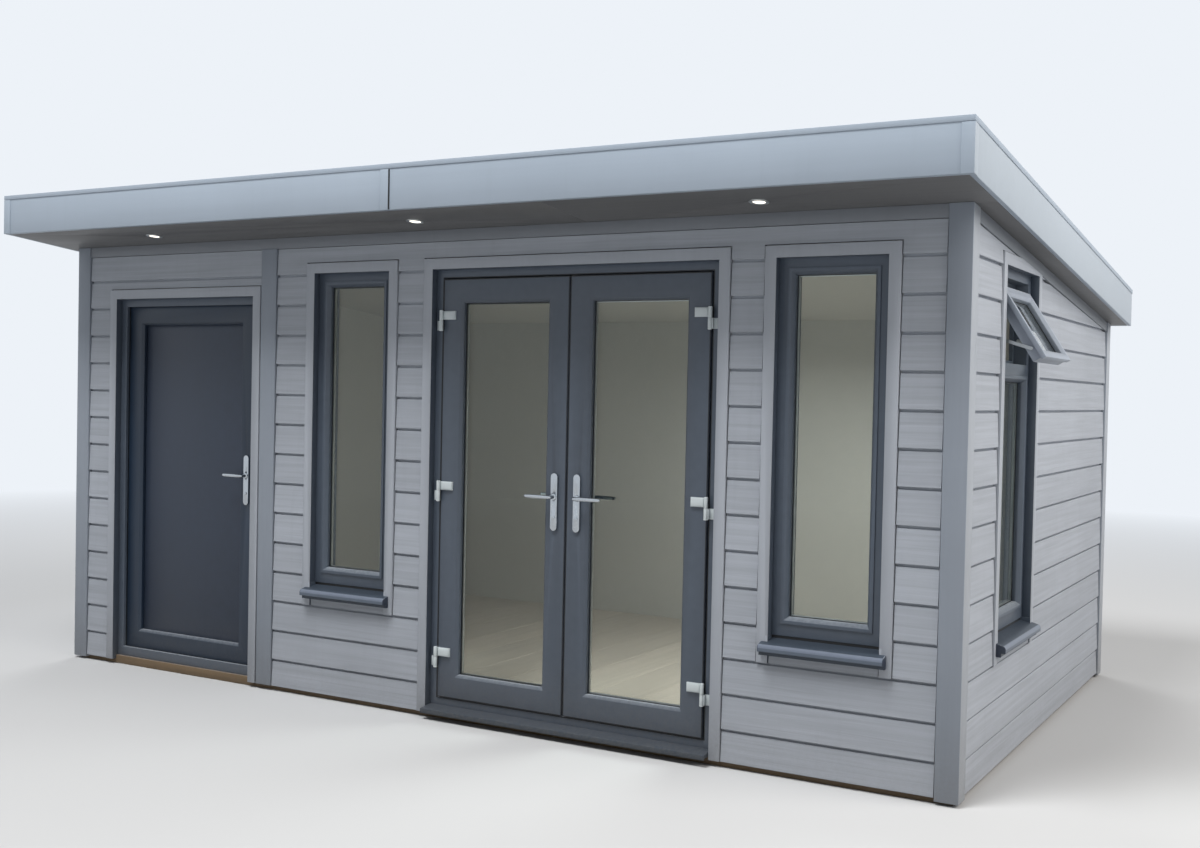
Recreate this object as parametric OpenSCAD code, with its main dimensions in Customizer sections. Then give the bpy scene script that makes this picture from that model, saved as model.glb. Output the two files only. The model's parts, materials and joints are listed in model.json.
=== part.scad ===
// Garden office pod: a flat-roofed timber building with lapped boards, French doors, a store door,
// two tall windows in front and one side window with an open top vent.
// Millimetres. +Z is up, the front faces -Y, and the origin is on the ground under the middle of the floor.

/* [Body] */
// Width of the building over its corner boards
body_w = 5000; // [4700:10:6000]
// Depth of the building over its corner boards
body_d = 3000; // [2600:10:3600]
// Height of the soffit where it meets the front of the building
eave_h = 2300; // [2050:10:2600]
// Fall of the roof towards the rear, in each unit of depth
roof_fall = 0.1; // [0.05:0.01:0.11]
// Thickness of the insulated walls behind the boards
wall_t = 120; // [110:5:160]

/* [Base and floor] */
// Height of the timber bearers that stand on the ground
base_h = 45; // [38:1:60]
// Width of the bearers under the walls and the middle
bearer_w = 120; // [120:5:160]
// Width of one joist
joist_w = 45; // [38:1:75]
// Number of joists across the width
joist_count = 11; // [9:1:13]
// Thickness of the floor
floor_t = 30; // [18:1:32]

/* [Boards and trim] */
// Height that one lapped board shows
board_pitch = 150; // [120:5:180]
// Height that the lowest board shows
first_board = 138; // [90:1:160]
// Thickness of a board at its lower edge
board_butt = 22; // [16:1:26]
// Thickness of a board at its upper edge
board_tip = 9; // [6:1:12]
// Lap of the lowest board over the bearers
clad_drop = 20; // [5:1:30]
// Thickness of corner boards, opening surrounds and the divider
trim_t = 28; // [26:1:36]
// Width of each face of a corner board
corner_w = 95; // [70:5:120]
// Length of the corner boards below the lowest boards
corner_drop = 12; // [0:1:20]
// Width of the face of an opening surround
surround_w = 50; // [40:1:60]
// Edge of a frame that its surround covers
cover = 10; // [6:1:14]
// Length of a surround below the sill of its window
surround_tail = 68; // [20:1:120]
// Height of the board under the soffit
frieze_h = 54; // [40:1:60]
// Thickness of the board under the soffit
frieze_t = 24; // [18:1:28]
// Width of the upright board beside the store door
divider_w = 100; // [60:5:120]

/* [Roof] */
// Overhang of the roof in front
front_overhang = 400; // [250:10:600]
// Overhang of the roof at each side
side_overhang = 100; // [70:5:200]
// Overhang of the roof at the rear
rear_overhang = 60; // [50:5:120]
// Height of the fascia boards in front and at the sides
fascia_h = 200; // [180:5:240]
// Thickness of the fascia boards
fascia_t = 20; // [16:1:25]
// Thickness of the insulated roof deck
deck_t = 130; // [100:5:150]
// Thickness of the soffit boards
soffit_t = 12; // [9:1:18]
// Thickness of the roof membrane
membrane_t = 3; // [2:1:4]
// Width of the kerb along the roof's raised edges
kerb_w = 40; // [30:5:60]
// Width of the fascia joint and corner covers
fascia_cover_w = 45; // [30:5:80]
// Distance between the soffit lights
light_pitch = 1700; // [900:50:2000]

/* [Rainwater] */
// Radius of the half-round gutter
gutter_r = 56; // [45:1:65]
// Radius of the downpipe
pipe_r = 34; // [25:1:40]

/* [Store door] */
// Distance from the left end of the building to the middle of the store door
store_in = 820; // [750:5:900]
// Width between the surrounds of the store door
store_w = 1015; // [850:5:1050]
// Drop from the soffit to the head of the store door
store_drop = 290; // [250:5:350]

/* [French doors] */
// Middle of the French doors, from the middle of the building
french_x = 710; // [650:5:760]
// Width between the surrounds of the French doors
french_w = 1480; // [1300:5:1500]
// Drop from the soffit to the head of the French doors and the windows
head_drop = 185; // [180:5:240]

/* [Windows] */
// Middle of the window beside the store door
window1_x = -525; // [-560:5:-480]
// Distance from the right end of the building to the middle of the window there
window2_in = 560; // [540:5:600]
// Width between the surrounds of each front window
window_w = 470; // [400:5:500]
// Height of the underside of the window frames
window_z = 575; // [450:5:900]
// Distance from the front of the building to the middle of the side window
side_window_in = 850; // [750:5:1800]
// Width between the surrounds of the side window
side_window_w = 600; // [500:5:700]
// Drop from the window heads to the middle of the side window's transom
transom_drop = 425; // [365:5:615]
// Angle at which the top vent stands open
vent_angle = 32; // [10:1:35]
// Height of the nose of a window sill
sill_h = 45; // [35:1:60]
// Projection of a sill in front of the corner boards
sill_nose = 40; // [25:1:60]
// Length of a window sill past the frame at each end
sill_horn = 20; // [10:1:35]

/* [Frames and leaves] */
// Width of a frame member
frame_face = 50; // [45:1:60]
// Depth of a frame from front to back
frame_d = 76; // [76:1:90]
// Distance from the face of the corner boards back to the frames
recess = 40; // [34:1:50]
// Gap between a leaf and its frame
leaf_gap = 6; // [5.5:0.5:8]
// Thickness of a door leaf
leaf_t = 60; // [56:1:62]
// Distance that a leaf stands proud of its frame
leaf_proud = 8; // [6:1:12]
// Width of the flat face of a leaf's stiles and rails
stile_w = 100; // [80:1:120]
// Width of the sloped bead beside the glass
bead_w = 12; // [8:1:16]
// Thickness of the sealed glass units
glass_t = 20; // [16:1:22]
// Depth of a glass edge in its groove
glass_edge = 10; // [6:1:12]

/* [Hinges and handles] */
// Height of the lowest hinge's middle
hinge_z1 = 290; // [220:5:350]
// Height of the middle hinge's middle
hinge_z2 = 1075; // [900:5:1200]
// Drop from the head of the French doors to the highest hinge's middle
hinge_drop = 240; // [235:5:415]
// Radius of a hinge knuckle
knuckle_r = 9; // [8:0.5:10]
// Radius of a hinge pin
pin_r = 6; // [4:0.5:6]
// Length of each half of a hinge
knuckle_l = 45; // [35:1:60]
// Width of a hinge flag on the leaf
flag_w = 75; // [50:5:90]
// Height of a hinge flag
flag_h = 40; // [25:1:40]
// Height of the lever handles' spindles
lever_z = 1082; // [1000:2:1120]
// Length of a lever from its spindle
lever_l = 140; // [100:5:150]
// Radius of a lever's round grip
grip_r = 9; // [7:0.5:11]
// Distance from the leaf to the middle of a grip
grip_out = 48; // [42:1:60]
// Height of a handle plate
plate_h = 258; // [220:2:270]
// Width of a handle plate
plate_w = 34; // [28:1:40]
// Thickness of a handle plate
plate_t = 10; // [8:1:12]

/* [Hidden] */

$fn = 48;
board_grey = "#9fa3a8";
trim_grey = "#8d949b";
anthracite = "#3a4049";
metal = "#c9ccd0";
timber = "#b08d61";
pane = "#7c8a8c";

// Clearances
seat = 0.3;
run = 0.05;
joint_gap = 2;

// Overlap of joined blocks, how far a cut runs past a face, and a length past every face of the building
lap = 1;
long = 8000;

// Faces of the building
left_x = -body_w / 2;
right_x = body_w / 2;
front_y = -body_d / 2;
rear_y = body_d / 2;
core_x = right_x - trim_t;
core_y = rear_y - trim_t;
room_x = core_x - wall_t;
room_y = core_y - wall_t;
clad_z = base_h - clad_drop;
floor_z = base_h + floor_t;

// Places of the openings
store_x = left_x + store_in;
window2_x = right_x - window2_in;
side_window_y = front_y + side_window_in;
head_z = eave_h - head_drop;
store_head = eave_h - store_drop;
transom_z = head_z - transom_drop;
hinge_z3 = head_z - hinge_drop;
tail_z = window_z - sill_h - surround_tail;

// Height of the underside of the soffit at a depth y
function soffit_z(y) = eave_h - roof_fall * (y - front_y);

// Sections of frames and leaves, as depth from the face and distance in from the outer edge
stop_w = 18;
set_back = 8;
flange_t = 20;
step_w = 14;
glass_in = 32;
stop_d = frame_d + leaf_proud - leaf_t - leaf_gap;
leaf_in = frame_face + leaf_gap;
sight = stile_w + bead_w;
window_sight = frame_face + 2 * step_w;
hinge_off = 15;
hinge_side = 2;

outward_frame = [[0, 0], [frame_d, 0], [frame_d, frame_face + stop_w],
    [frame_d - stop_d, frame_face + stop_w], [frame_d - stop_d, frame_face], [0, frame_face]];
inward_frame = [[0, 0], [frame_d, 0], [frame_d, frame_face - stop_w], [stop_d, frame_face - stop_w],
    [stop_d, frame_face], [0, frame_face]];
function leaf_face(back) = [[back, sight], [glass_in + glass_t, sight],
    [glass_in + glass_t, sight - glass_edge], [glass_in, sight - glass_edge], [glass_in, sight],
    [bead_w, sight], [0, stile_w]];
outward_leaf = concat([[0, 0], [flange_t, 0], [flange_t, set_back], [leaf_t, set_back]], leaf_face(leaf_t));
inward_leaf = concat([[0, set_back], [leaf_t - flange_t, set_back], [leaf_t - flange_t, 0], [leaf_t, 0]],
    leaf_face(leaf_t));
function light_section(back, proud) = [[back, 0], [back, window_sight],
    [glass_in + glass_t, window_sight], [glass_in + glass_t, window_sight - glass_edge],
    [glass_in, window_sight - glass_edge], [glass_in, window_sight], [step_w, window_sight],
    [-proud, window_sight - step_w], [-proud, frame_face], [0, frame_face], [0, 0]];
vent_sight = 3 * step_w;
vent_d = 56;
vent_section = [[0, 0], [flange_t, 0], [flange_t, set_back], [vent_d, set_back], [vent_d, vent_sight],
    [glass_in + glass_t, vent_sight], [glass_in + glass_t, vent_sight - glass_edge],
    [glass_in, vent_sight - glass_edge], [glass_in, vent_sight], [bead_w, vent_sight], [0, 2 * step_w]];

// Places of the leaves
store_leaf_in = frame_face - stop_w + leaf_gap;
leaf_z = base_h + frame_face + leaf_gap;
french_leaf_w = french_w / 2 + cover - leaf_in - leaf_gap / 2;
french_leaf_h = head_z + cover - leaf_in - leaf_z;
french_leaf_y = front_y + recess - leaf_proud;
french_left_x = french_x - french_w / 2 - cover + leaf_in;
french_right_x = french_x + leaf_gap / 2;
store_leaf_z = base_h + store_leaf_in;
store_leaf_w = store_w + 2 * cover - 2 * store_leaf_in;
store_leaf_h = store_head + cover - store_leaf_in - store_leaf_z;
store_leaf_y = front_y + recess + stop_d + leaf_gap;
store_leaf_x = store_x - store_w / 2 - cover + store_leaf_in;
french_hinge_y = french_leaf_y - hinge_off;
store_hinge_y = store_leaf_y + leaf_t + hinge_off;
hinge_heights = [hinge_z1, hinge_z2, hinge_z3];
handle_in = sight / 2;

// Blocks whose top follows the roof, and slabs that lie along it
module sloped(x0, x1, y0, y1, z0, top)
    translate([x0, 0, 0]) rotate([90, 0, 90]) linear_extrude(x1 - x0)
        polygon([[y0, z0], [y1, z0], [y1, soffit_z(y1) + top], [y0, soffit_z(y0) + top]]);

module roof_slab(x0, x1, y0, y1, low, high)
    translate([x0, 0, 0]) rotate([90, 0, 90]) linear_extrude(x1 - x0)
        polygon([[y0, soffit_z(y0) + low], [y1, soffit_z(y1) + low],
            [y1, soffit_z(y1) + high], [y0, soffit_z(y0) + high]]);

module block(x0, x1, y0, y1, z0, z1)
    translate([x0, y0, z0]) cube([x1 - x0, y1 - y0, z1 - z0]);

// Walls are drawn from outside: x runs along the wall, y goes into it from the corner boards' face
module at_front() translate([0, front_y, 0]) children();
module at_right() translate([right_x, 0, 0]) rotate([0, 0, 90]) children();
module at_rear() translate([0, rear_y, 0]) rotate([0, 0, 180]) children();
module at_left() translate([left_x, 0, 0]) rotate([0, 0, -90]) children();

// One side of a mitred frame, lying along x with its inner edge upwards
module frame_side(len, section, deep)
    intersection() {
        rotate([90, 0, 90]) linear_extrude(len) polygon(section);
        translate([0, frame_d * 2, 0]) rotate([90, 0, 0]) linear_extrude(frame_d * 4)
            polygon([[0, 0], [len, 0], [len - deep, deep], [deep, deep]]);
    }

module mitred_frame(w, h, section, deep) {
    frame_side(w, section, deep);
    translate([0, 0, h]) mirror([0, 0, 1]) frame_side(w, section, deep);
    translate([0, 0, h]) rotate([0, 90, 0]) frame_side(h, section, deep);
    translate([w, 0, 0]) rotate([0, -90, 0]) frame_side(h, section, deep);
}

module base_frame() color(timber) {
    difference() {
        block(-core_x, core_x, -core_y, core_y, 0, base_h);
        block(-core_x + bearer_w, core_x - bearer_w, -core_y + bearer_w, core_y - bearer_w, -lap, base_h + lap);
    }
    block(-core_x + lap, core_x - lap, -bearer_w / 2, bearer_w / 2, 0, base_h);
    joist_step = 2 * core_x / (joist_count + 1);
    for (i = [1:joist_count])
        translate([-core_x + i * joist_step - joist_w / 2, -core_y + lap, 0])
            cube([joist_w, 2 * core_y - 2 * lap, base_h]);
}

module floor_deck() color("#a89a86") {
    block(-room_x, room_x, -room_y, room_y, base_h, floor_z);
    for (door = [[store_x, store_w], [french_x, french_w]])
        block(door[0] - door[1] / 2 - cover, door[0] + door[1] / 2 + cover,
            front_y + recess + frame_d, -room_y + lap, base_h, floor_z);
}

// Ends of the pieces of the front wall
store_left = store_x - store_w / 2 - cover;
store_right = store_x + store_w / 2 + cover;
french_left = french_x - french_w / 2 - cover;
french_right = french_x + french_w / 2 + cover;
wall_top = soffit_t - seat;

module front_wall(x0, x1, z0)
    sloped(x0, x1, -core_y, -room_y, z0, wall_top);

module window_hole(x, w)
    block(x - w / 2 - cover, x + w / 2 + cover, -lap, trim_t + wall_t + lap, window_z - sill_h, head_z + cover);

module front_left_wall() color(board_grey) front_wall(-core_x, store_left, base_h);
module store_head_wall() color(board_grey) front_wall(store_left, store_right, store_head + cover);
module front_middle_wall() color(board_grey) difference() {
    front_wall(store_right, french_left, base_h);
    at_front() window_hole(window1_x, window_w);
}
module french_head_wall() color(board_grey) front_wall(french_left, french_right, head_z + cover);
module front_right_wall() color(board_grey) difference() {
    front_wall(french_right, core_x, base_h);
    at_front() window_hole(window2_x, window_w);
}
module left_wall() color(board_grey) sloped(-core_x, -room_x, -room_y, room_y, base_h, wall_top);
module right_wall() color(board_grey) difference() {
    sloped(room_x, core_x, -room_y, room_y, base_h, wall_top);
    at_right() window_hole(side_window_y, side_window_w);
}
module rear_wall() color(board_grey) sloped(-core_x, core_x, room_y, core_y, base_h, wall_top);

// Lapped boards: one sawtooth section, each tooth one board
board_count = ceil((eave_h - clad_z - first_board) / board_pitch) + 1;
function board_z(i) = clad_z + (i == 0 ? 0 : first_board + (i - 1) * board_pitch);
clad_section = concat([[trim_t, clad_z]],
    [for (i = [0:board_count - 1])
        each [[trim_t - board_butt, board_z(i)], [trim_t - board_tip, board_z(i + 1)]]],
    [[trim_t, board_z(board_count)]]);

module boards(x0, x1)
    translate([x0, 0, 0]) rotate([90, 0, 90]) linear_extrude(x1 - x0) polygon(clad_section);

module below_frieze() sloped(-long, long, -long, long, 0, -frieze_h);

module surround_space(x, w, z0, z1)
    block(x - w / 2 - surround_w, x + w / 2 + surround_w, -lap, trim_t + lap, z0, z1 + surround_w);

module window_space(x, w) {
    surround_space(x, w, window_z - sill_h, head_z);
    for (side = [0, 1]) translate([x, 0, 0]) mirror([side, 0, 0])
        block(w / 2, w / 2 + surround_w, -lap, trim_t + lap, tail_z, head_z);
}
module front_cladding() color(board_grey) difference() {
    intersection() {
        at_front() boards(left_x + corner_w, right_x - corner_w);
        below_frieze();
    }
    at_front() {
        surround_space(store_x, store_w, -lap, store_head);
        surround_space(french_x, french_w, -lap, head_z);
        window_space(window1_x, window_w);
        window_space(window2_x, window_w);
        block(divider_left, divider_left + divider_w, -lap, trim_t + lap, -lap, eave_h);
    }
}

module side_cladding() color(board_grey) difference() {
    intersection() {
        union() {
            at_left() boards(front_y + corner_w, rear_y - corner_w);
            at_right() boards(front_y + corner_w, rear_y - corner_w);
        }
        below_frieze();
    }
    at_right() window_space(side_window_y, side_window_w);
}

module rear_cladding() color(board_grey) intersection() {
    at_rear() boards(left_x + corner_w, right_x - corner_w);
    below_frieze();
}

// Corner boards are single L-shaped lengths, cut to the slope of the soffit
module corner_board()
    linear_extrude(eave_h)
        polygon([[0, 0], [corner_w, 0], [corner_w, trim_t], [trim_t, trim_t],
            [trim_t, corner_w], [0, corner_w]]);

module corner_boards() color(trim_grey) intersection() {
    for (side = [0, 1], end = [0, 1])
        translate([side ? right_x : left_x, end ? rear_y : front_y, clad_z - corner_drop])
            mirror([side, 0, 0]) mirror([0, end, 0]) corner_board();
    sloped(-long, long, -long, long, 0, -seat);
}

divider_gap = 8;
divider_left = store_x + store_w / 2 + surround_w + divider_gap;

module divider_board() color(trim_grey)
    sloped(divider_left, divider_left + divider_w, front_y, -core_y, clad_z, -frieze_h - seat);

module frieze_boards() color(trim_grey) {
    frieze_x = right_x - corner_w;
    frieze_y = rear_y - corner_w;
    frieze_in = trim_t - frieze_t;
    roof_slab(-frieze_x, frieze_x, front_y + frieze_in, -core_y, -frieze_h, -seat);
    roof_slab(-frieze_x, frieze_x, core_y, rear_y - frieze_in, -frieze_h, -seat);
    for (side = [0, 1]) mirror([side, 0, 0])
        roof_slab(core_x, right_x - frieze_in, -frieze_y, frieze_y, -frieze_h, -seat);
}

// A surround is a flat face with a return that reaches back to the frame
module surround(x, w, z0, z1, return_z)
    difference() {
        union() {
            block(x - w / 2 - surround_w, x + w / 2 + surround_w, 0, trim_t, z0, z1 + surround_w);
            block(x - w / 2 - cover, x + w / 2 + cover, lap, recess, return_z, z1 + cover);
        }
        block(x - w / 2, x + w / 2, -lap, recess + lap, z0 - lap, z1);
    }

module opening_surrounds() color(trim_grey) {
    difference() {
        at_front() {
            surround(store_x, store_w, clad_z, store_head, base_h);
            surround(french_x, french_w, clad_z, head_z, base_h);
            surround(window1_x, window_w, tail_z, head_z, window_z);
            surround(window2_x, window_w, tail_z, head_z, window_z);
        }
        at_front() for (x = [window1_x, window2_x]) sill_space(x, window_w);
    }
    difference() {
        intersection() {
            at_right() surround(side_window_y, side_window_w, tail_z, head_z, window_z);
            sloped(-long, long, -long, long, 0, -frieze_h - seat);
        }
        at_right() sill_space(side_window_y, side_window_w);
    }
}

// Sills: a sloped top, a square nose and a body that carries the frame
sill_fall = 10;

module sill_profile(x0, x1, y0, y1, z_top)
    translate([x0, 0, 0]) rotate([90, 0, 90]) linear_extrude(x1 - x0)
        polygon([[y0, z_top - sill_h], [y1, z_top - sill_h], [y1, z_top], [recess, z_top],
            [y0, z_top - sill_fall]]);

module window_sill(x, w) {
    half = w / 2 + cover;
    back = recess + frame_d;
    difference() {
        sill_profile(x - half - sill_horn, x + half + sill_horn, -sill_nose, back, window_z);
        for (side = [-1, 1]) translate([x + side * (half + sill_horn), (back - seat) / 2 + lap, window_z])
            cube([2 * sill_horn, back + seat + 2 * lap, 3 * sill_h], center = true);
    }
}

module sill_space(x, w)
    block(x - w / 2 - cover, x + w / 2 + cover, -sill_nose, recess + frame_d, window_z - sill_h, window_z);

module window_sills() color(anthracite) {
    at_front() for (x = [window1_x, window2_x]) window_sill(x, window_w);
    at_right() window_sill(side_window_y, side_window_w);
}

// The door sill is a folded plate with a drip along its nose
door_sill_t = 8;
door_sill_rise = 17;
door_sill_drip = 15;

module door_sill() color(anthracite) {
    sill_top = base_h + door_sill_rise;
    drip_z = base_h - door_sill_drip;
    plate_z = base_h - door_sill_t;
    at_front() translate([french_x - french_w / 2 + joint_gap / 2, 0, 0])
        rotate([90, 0, 90]) linear_extrude(french_w - joint_gap)
            polygon([[-sill_nose, drip_z], [-sill_nose + door_sill_t, drip_z],
                [-sill_nose + door_sill_t, plate_z], [trim_t, plate_z], [trim_t, base_h],
                [recess, base_h], [recess, sill_top], [-sill_nose, sill_top - sill_fall]]);
}

module door_ring(x, w, head, section, deep)
    at_front() translate([x - w / 2 - cover, recess, base_h])
        mitred_frame(w + 2 * cover, head + cover - base_h, section, deep);

module store_door_frame() color(anthracite)
    door_ring(store_x, store_w, store_head, inward_frame, frame_face);
module french_door_frame() color(anthracite)
    door_ring(french_x, french_w, head_z, outward_frame, frame_face + stop_w);

// A fixed light: frame, raised inner step and sloped bead round a glass groove
step_proud = 6;

module fixed_light(x, w, z0, z1)
    translate([x - w / 2 - cover, recess, z0])
        mitred_frame(w + 2 * cover, z1 - z0, light_section(frame_d, step_proud), window_sight);

module light_glass(x, w, z0, z1) {
    inset = window_sight - glass_edge;
    translate([x - w / 2 - cover + inset, recess + glass_in, z0 + inset])
        cube([w + 2 * cover - 2 * inset, glass_t, z1 - z0 - 2 * inset]);
}

module front_window_frames() color(anthracite) at_front() {
    fixed_light(window1_x, window_w, window_z, head_z + cover);
    fixed_light(window2_x, window_w, window_z, head_z + cover);
}

// The side window: a fixed light below the transom and an open frame for the vent above it
vent_w = side_window_w + 2 * cover - 2 * frame_face - 2 * leaf_gap;
vent_base = transom_z + frame_face / 2;
vent_h = head_z + cover - frame_face - vent_base - 2 * leaf_gap;

module side_window_frame() color(anthracite) at_right() {
    fixed_light(side_window_y, side_window_w, window_z, transom_z + frame_face / 2);
    vent_stop = [[0, 0], [frame_d, 0], [frame_d, frame_face + stop_w], [frame_d - stop_w, frame_face + stop_w],
        [frame_d - stop_w, frame_face], [0, frame_face]];
    translate([side_window_y - side_window_w / 2 - cover, recess, transom_z - frame_face / 2])
        mitred_frame(side_window_w + 2 * cover, head_z + cover - transom_z + frame_face / 2, vent_stop,
            frame_face + stop_w);
}

// The vent's top edge slides down its frame as the vent opens
vent_travel = 66;
vent_top = vent_base + leaf_gap + vent_h - vent_travel * sin(vent_angle);

module at_vent() at_right()
    translate([side_window_y - vent_w / 2, recess - leaf_proud, vent_top])
        rotate([-vent_angle, 0, 0]) translate([0, 0, -vent_h]) children();

module vent_sash() color(anthracite) at_vent() mitred_frame(vent_w, vent_h, vent_section, vent_sight);

// Stays: a flat bar from each jamb of the open vent to a pin in the side of its sash
stay_t = 3;
stay_r = 7;
stay_pin_r = 3;
stay_rise = 110;
stay_up = 60;
stay_set = 6;
stay_from = [recess + frame_d - 2 * stop_w, vent_base + stay_rise];
stay_sash = [vent_d / 2 + stay_set, stay_up - vent_h];
stay_to = [recess - leaf_proud, vent_top]
    + [stay_sash[0] * cos(vent_angle) + stay_sash[1] * sin(vent_angle),
        stay_sash[1] * cos(vent_angle) - stay_sash[0] * sin(vent_angle)];

module vent_stay() {
    reach = stay_to - stay_from;
    jamb = vent_w / 2 + leaf_gap - seat;
    translate([jamb, stay_from[0], stay_from[1]])
        rotate([atan2(reach[1], reach[0]), 0, 0]) rotate([0, -90, 0]) {
            cylinder(r = stay_r, h = stay_t);
            translate([-stay_r, 0, 0]) cube([2 * stay_r, norm(reach), stay_t]);
            translate([0, norm(reach), 0]) cylinder(r = stay_r, h = stay_t);
            translate([0, norm(reach), 0]) cylinder(r = stay_pin_r, h = leaf_gap + set_back - 2 * seat);
        }
}

module vent_stays() color(metal) at_right() translate([side_window_y, 0, 0])
    for (side = [0, 1]) mirror([side, 0, 0]) vent_stay();

module window_glass() color(pane, 0.4) {
    at_front() {
        light_glass(window1_x, window_w, window_z, head_z + cover);
        light_glass(window2_x, window_w, window_z, head_z + cover);
    }
    at_right() light_glass(side_window_y, side_window_w, window_z, transom_z + frame_face / 2);
    inset = vent_sight - glass_edge;
    at_vent() translate([inset, glass_in, inset]) cube([vent_w - 2 * inset, glass_t, vent_h - 2 * inset]);
}

// Leaves stand with their lower left outer corner at the origin, bored for the lever's spindle
spindle_room = 3;

module leaf(w, h, section, handle_x, handle_z)
    difference() {
        mitred_frame(w, h, section, sight);
        translate([handle_x, leaf_t + lap, handle_z]) rotate([90, 0, 0])
            cylinder(r = grip_r + spindle_room, h = leaf_t + 2 * lap);
    }

module leaf_pane(w, h, t) {
    inset = sight - glass_edge;
    translate([inset, glass_in, inset]) cube([w - 2 * inset, t, h - 2 * inset]);
}

// A handle plate with round ends, bored for the lever's neck, with its key barrel below
plate_above = 106;
key_below = 92;
key_r = 8;
key_proud = 4;

module handle_plate() {
    half = plate_h / 2 - plate_w / 2;
    drop = plate_h / 2 - plate_above;
    difference() {
        translate([0, 0, -drop]) rotate([90, 0, 0]) {
            for (end = [-1, 1]) translate([0, end * half, 0]) cylinder(r = plate_w / 2, h = plate_t);
            translate([-plate_w / 2, -half, 0]) cube([plate_w, 2 * half, plate_t]);
        }
        translate([0, lap, 0]) rotate([90, 0, 0]) cylinder(r = grip_r + run, h = plate_t + 2 * lap);
    }
    translate([0, -plate_t + lap, -key_below]) rotate([90, 0, 0]) cylinder(r = key_r, h = key_proud + lap);
}

// Both levers and their spindle turn as one piece; side is -1 for a lever that points to -x
module lever_pair(side) {
    rotate([90, 0, 0]) translate([0, 0, -leaf_t]) cylinder(r = grip_r - spindle_room, h = leaf_t);
    for (face = [0, 1]) translate([0, face * leaf_t, 0]) mirror([0, face, 0]) {
        rotate([90, 0, 0]) cylinder(r = grip_r, h = grip_out);
        translate([0, -grip_out, 0]) {
            sphere(grip_r);
            rotate([0, side * 90, 0]) cylinder(r = grip_r, h = lever_l - grip_r);
            translate([side * (lever_l - grip_r), 0, 0]) sphere(grip_r);
        }
    }
}

// The leaf's half of a hinge: a bored knuckle over the pin and a flag on the leaf's face
flag_t = 8;
bracket_t = 6;
bracket_reach = 34;
bracket_gap = 4;

module hinge_flag(side)
    difference() {
        union() {
            translate([0, 0, lap]) cylinder(r = knuckle_r, h = knuckle_l - lap);
            translate([side > 0 ? 0 : -flag_w, hinge_off - flag_t, knuckle_l - flag_h])
                cube([flag_w, flag_t, flag_h]);
        }
        cylinder(r = pin_r + run, h = knuckle_l + lap);
    }

// The frame's half: a lower knuckle with the pin, and a bracket back to the frame's face
module hinge_base(side, back)
    mirror([side > 0 ? 0 : 1, 0, 0]) {
        translate([0, 0, -knuckle_l]) {
            cylinder(r = knuckle_r, h = knuckle_l);
            translate([-bracket_reach, back - bracket_t, 0])
                cube([bracket_reach - bracket_gap, bracket_t, knuckle_l]);
            translate([-knuckle_r - bracket_gap, 0, 0]) cube([knuckle_r, back, knuckle_l]);
        }
        cylinder(r = pin_r, h = knuckle_l - 2 * lap);
    }

module french_leaf_at(x) translate([x, french_leaf_y, leaf_z]) children();
french_left_axis = french_left_x - hinge_side;
french_right_axis = french_right_x + french_leaf_w + hinge_side;
store_axis = store_leaf_x - hinge_side;

module store_leaf_at() translate([store_leaf_x, store_leaf_y, store_leaf_z]) children();

module french_left_leaf() color(anthracite) french_leaf_at(french_left_x)
    leaf(french_leaf_w, french_leaf_h, outward_leaf, french_leaf_w - handle_in, lever_z - leaf_z);
module french_right_leaf() color(anthracite) french_leaf_at(french_right_x)
    leaf(french_leaf_w, french_leaf_h, outward_leaf, handle_in, lever_z - leaf_z);
module store_door_leaf() color(anthracite) store_leaf_at()
    leaf(store_leaf_w, store_leaf_h, inward_leaf, store_leaf_w - handle_in, lever_z - store_leaf_z);

module french_left_glass() color(pane, 0.4) french_leaf_at(french_left_x)
    leaf_pane(french_leaf_w, french_leaf_h, glass_t);
module french_right_glass() color(pane, 0.4) french_leaf_at(french_right_x)
    leaf_pane(french_leaf_w, french_leaf_h, glass_t);
module store_door_panel() color(anthracite) store_leaf_at()
    leaf_pane(store_leaf_w, store_leaf_h, glass_t);

module plates(x, y) translate([x, y, lever_z]) {
    handle_plate();
    translate([0, leaf_t, 0]) mirror([0, 1, 0]) handle_plate();
}

module french_left_hardware() color(metal) {
    plates(french_left_x + french_leaf_w - handle_in, french_leaf_y);
    for (z = hinge_heights) translate([french_left_axis, french_hinge_y, z]) hinge_flag(1);
}
module french_right_hardware() color(metal) {
    plates(french_right_x + handle_in, french_leaf_y);
    for (z = hinge_heights) translate([french_right_axis, french_hinge_y, z]) hinge_flag(-1);
}
module store_door_hardware() color(metal) {
    plates(store_leaf_x + store_leaf_w - handle_in, store_leaf_y);
    for (z = hinge_heights) translate([store_axis, store_hinge_y, z]) mirror([0, 1, 0]) hinge_flag(1);
}

module french_left_lever() color(metal)
    translate([french_left_x + french_leaf_w - handle_in, french_leaf_y, lever_z]) lever_pair(-1);
module french_right_lever() color(metal)
    translate([french_right_x + handle_in, french_leaf_y, lever_z]) lever_pair(1);
module store_door_lever() color(metal)
    translate([store_leaf_x + store_leaf_w - handle_in, store_leaf_y, lever_z]) lever_pair(-1);

module frame_hinges() color(metal) {
    french_back = front_y + recess - french_hinge_y;
    store_back = store_hinge_y - (front_y + recess + frame_d);
    for (z = hinge_heights) {
        translate([french_left_axis, french_hinge_y, z]) hinge_base(1, french_back);
        translate([french_right_axis, french_hinge_y, z]) hinge_base(-1, french_back);
        translate([store_axis, store_hinge_y, z]) mirror([0, 1, 0]) hinge_base(1, store_back);
    }
}

// Roof
roof_x = right_x + side_overhang;
roof_front = front_y - front_overhang;
roof_rear = rear_y + rear_overhang;
deck_x = roof_x - fascia_t;
deck_front = roof_front + fascia_t;
deck_rear = roof_rear - fascia_t;
deck_top = soffit_t + deck_t;

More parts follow.
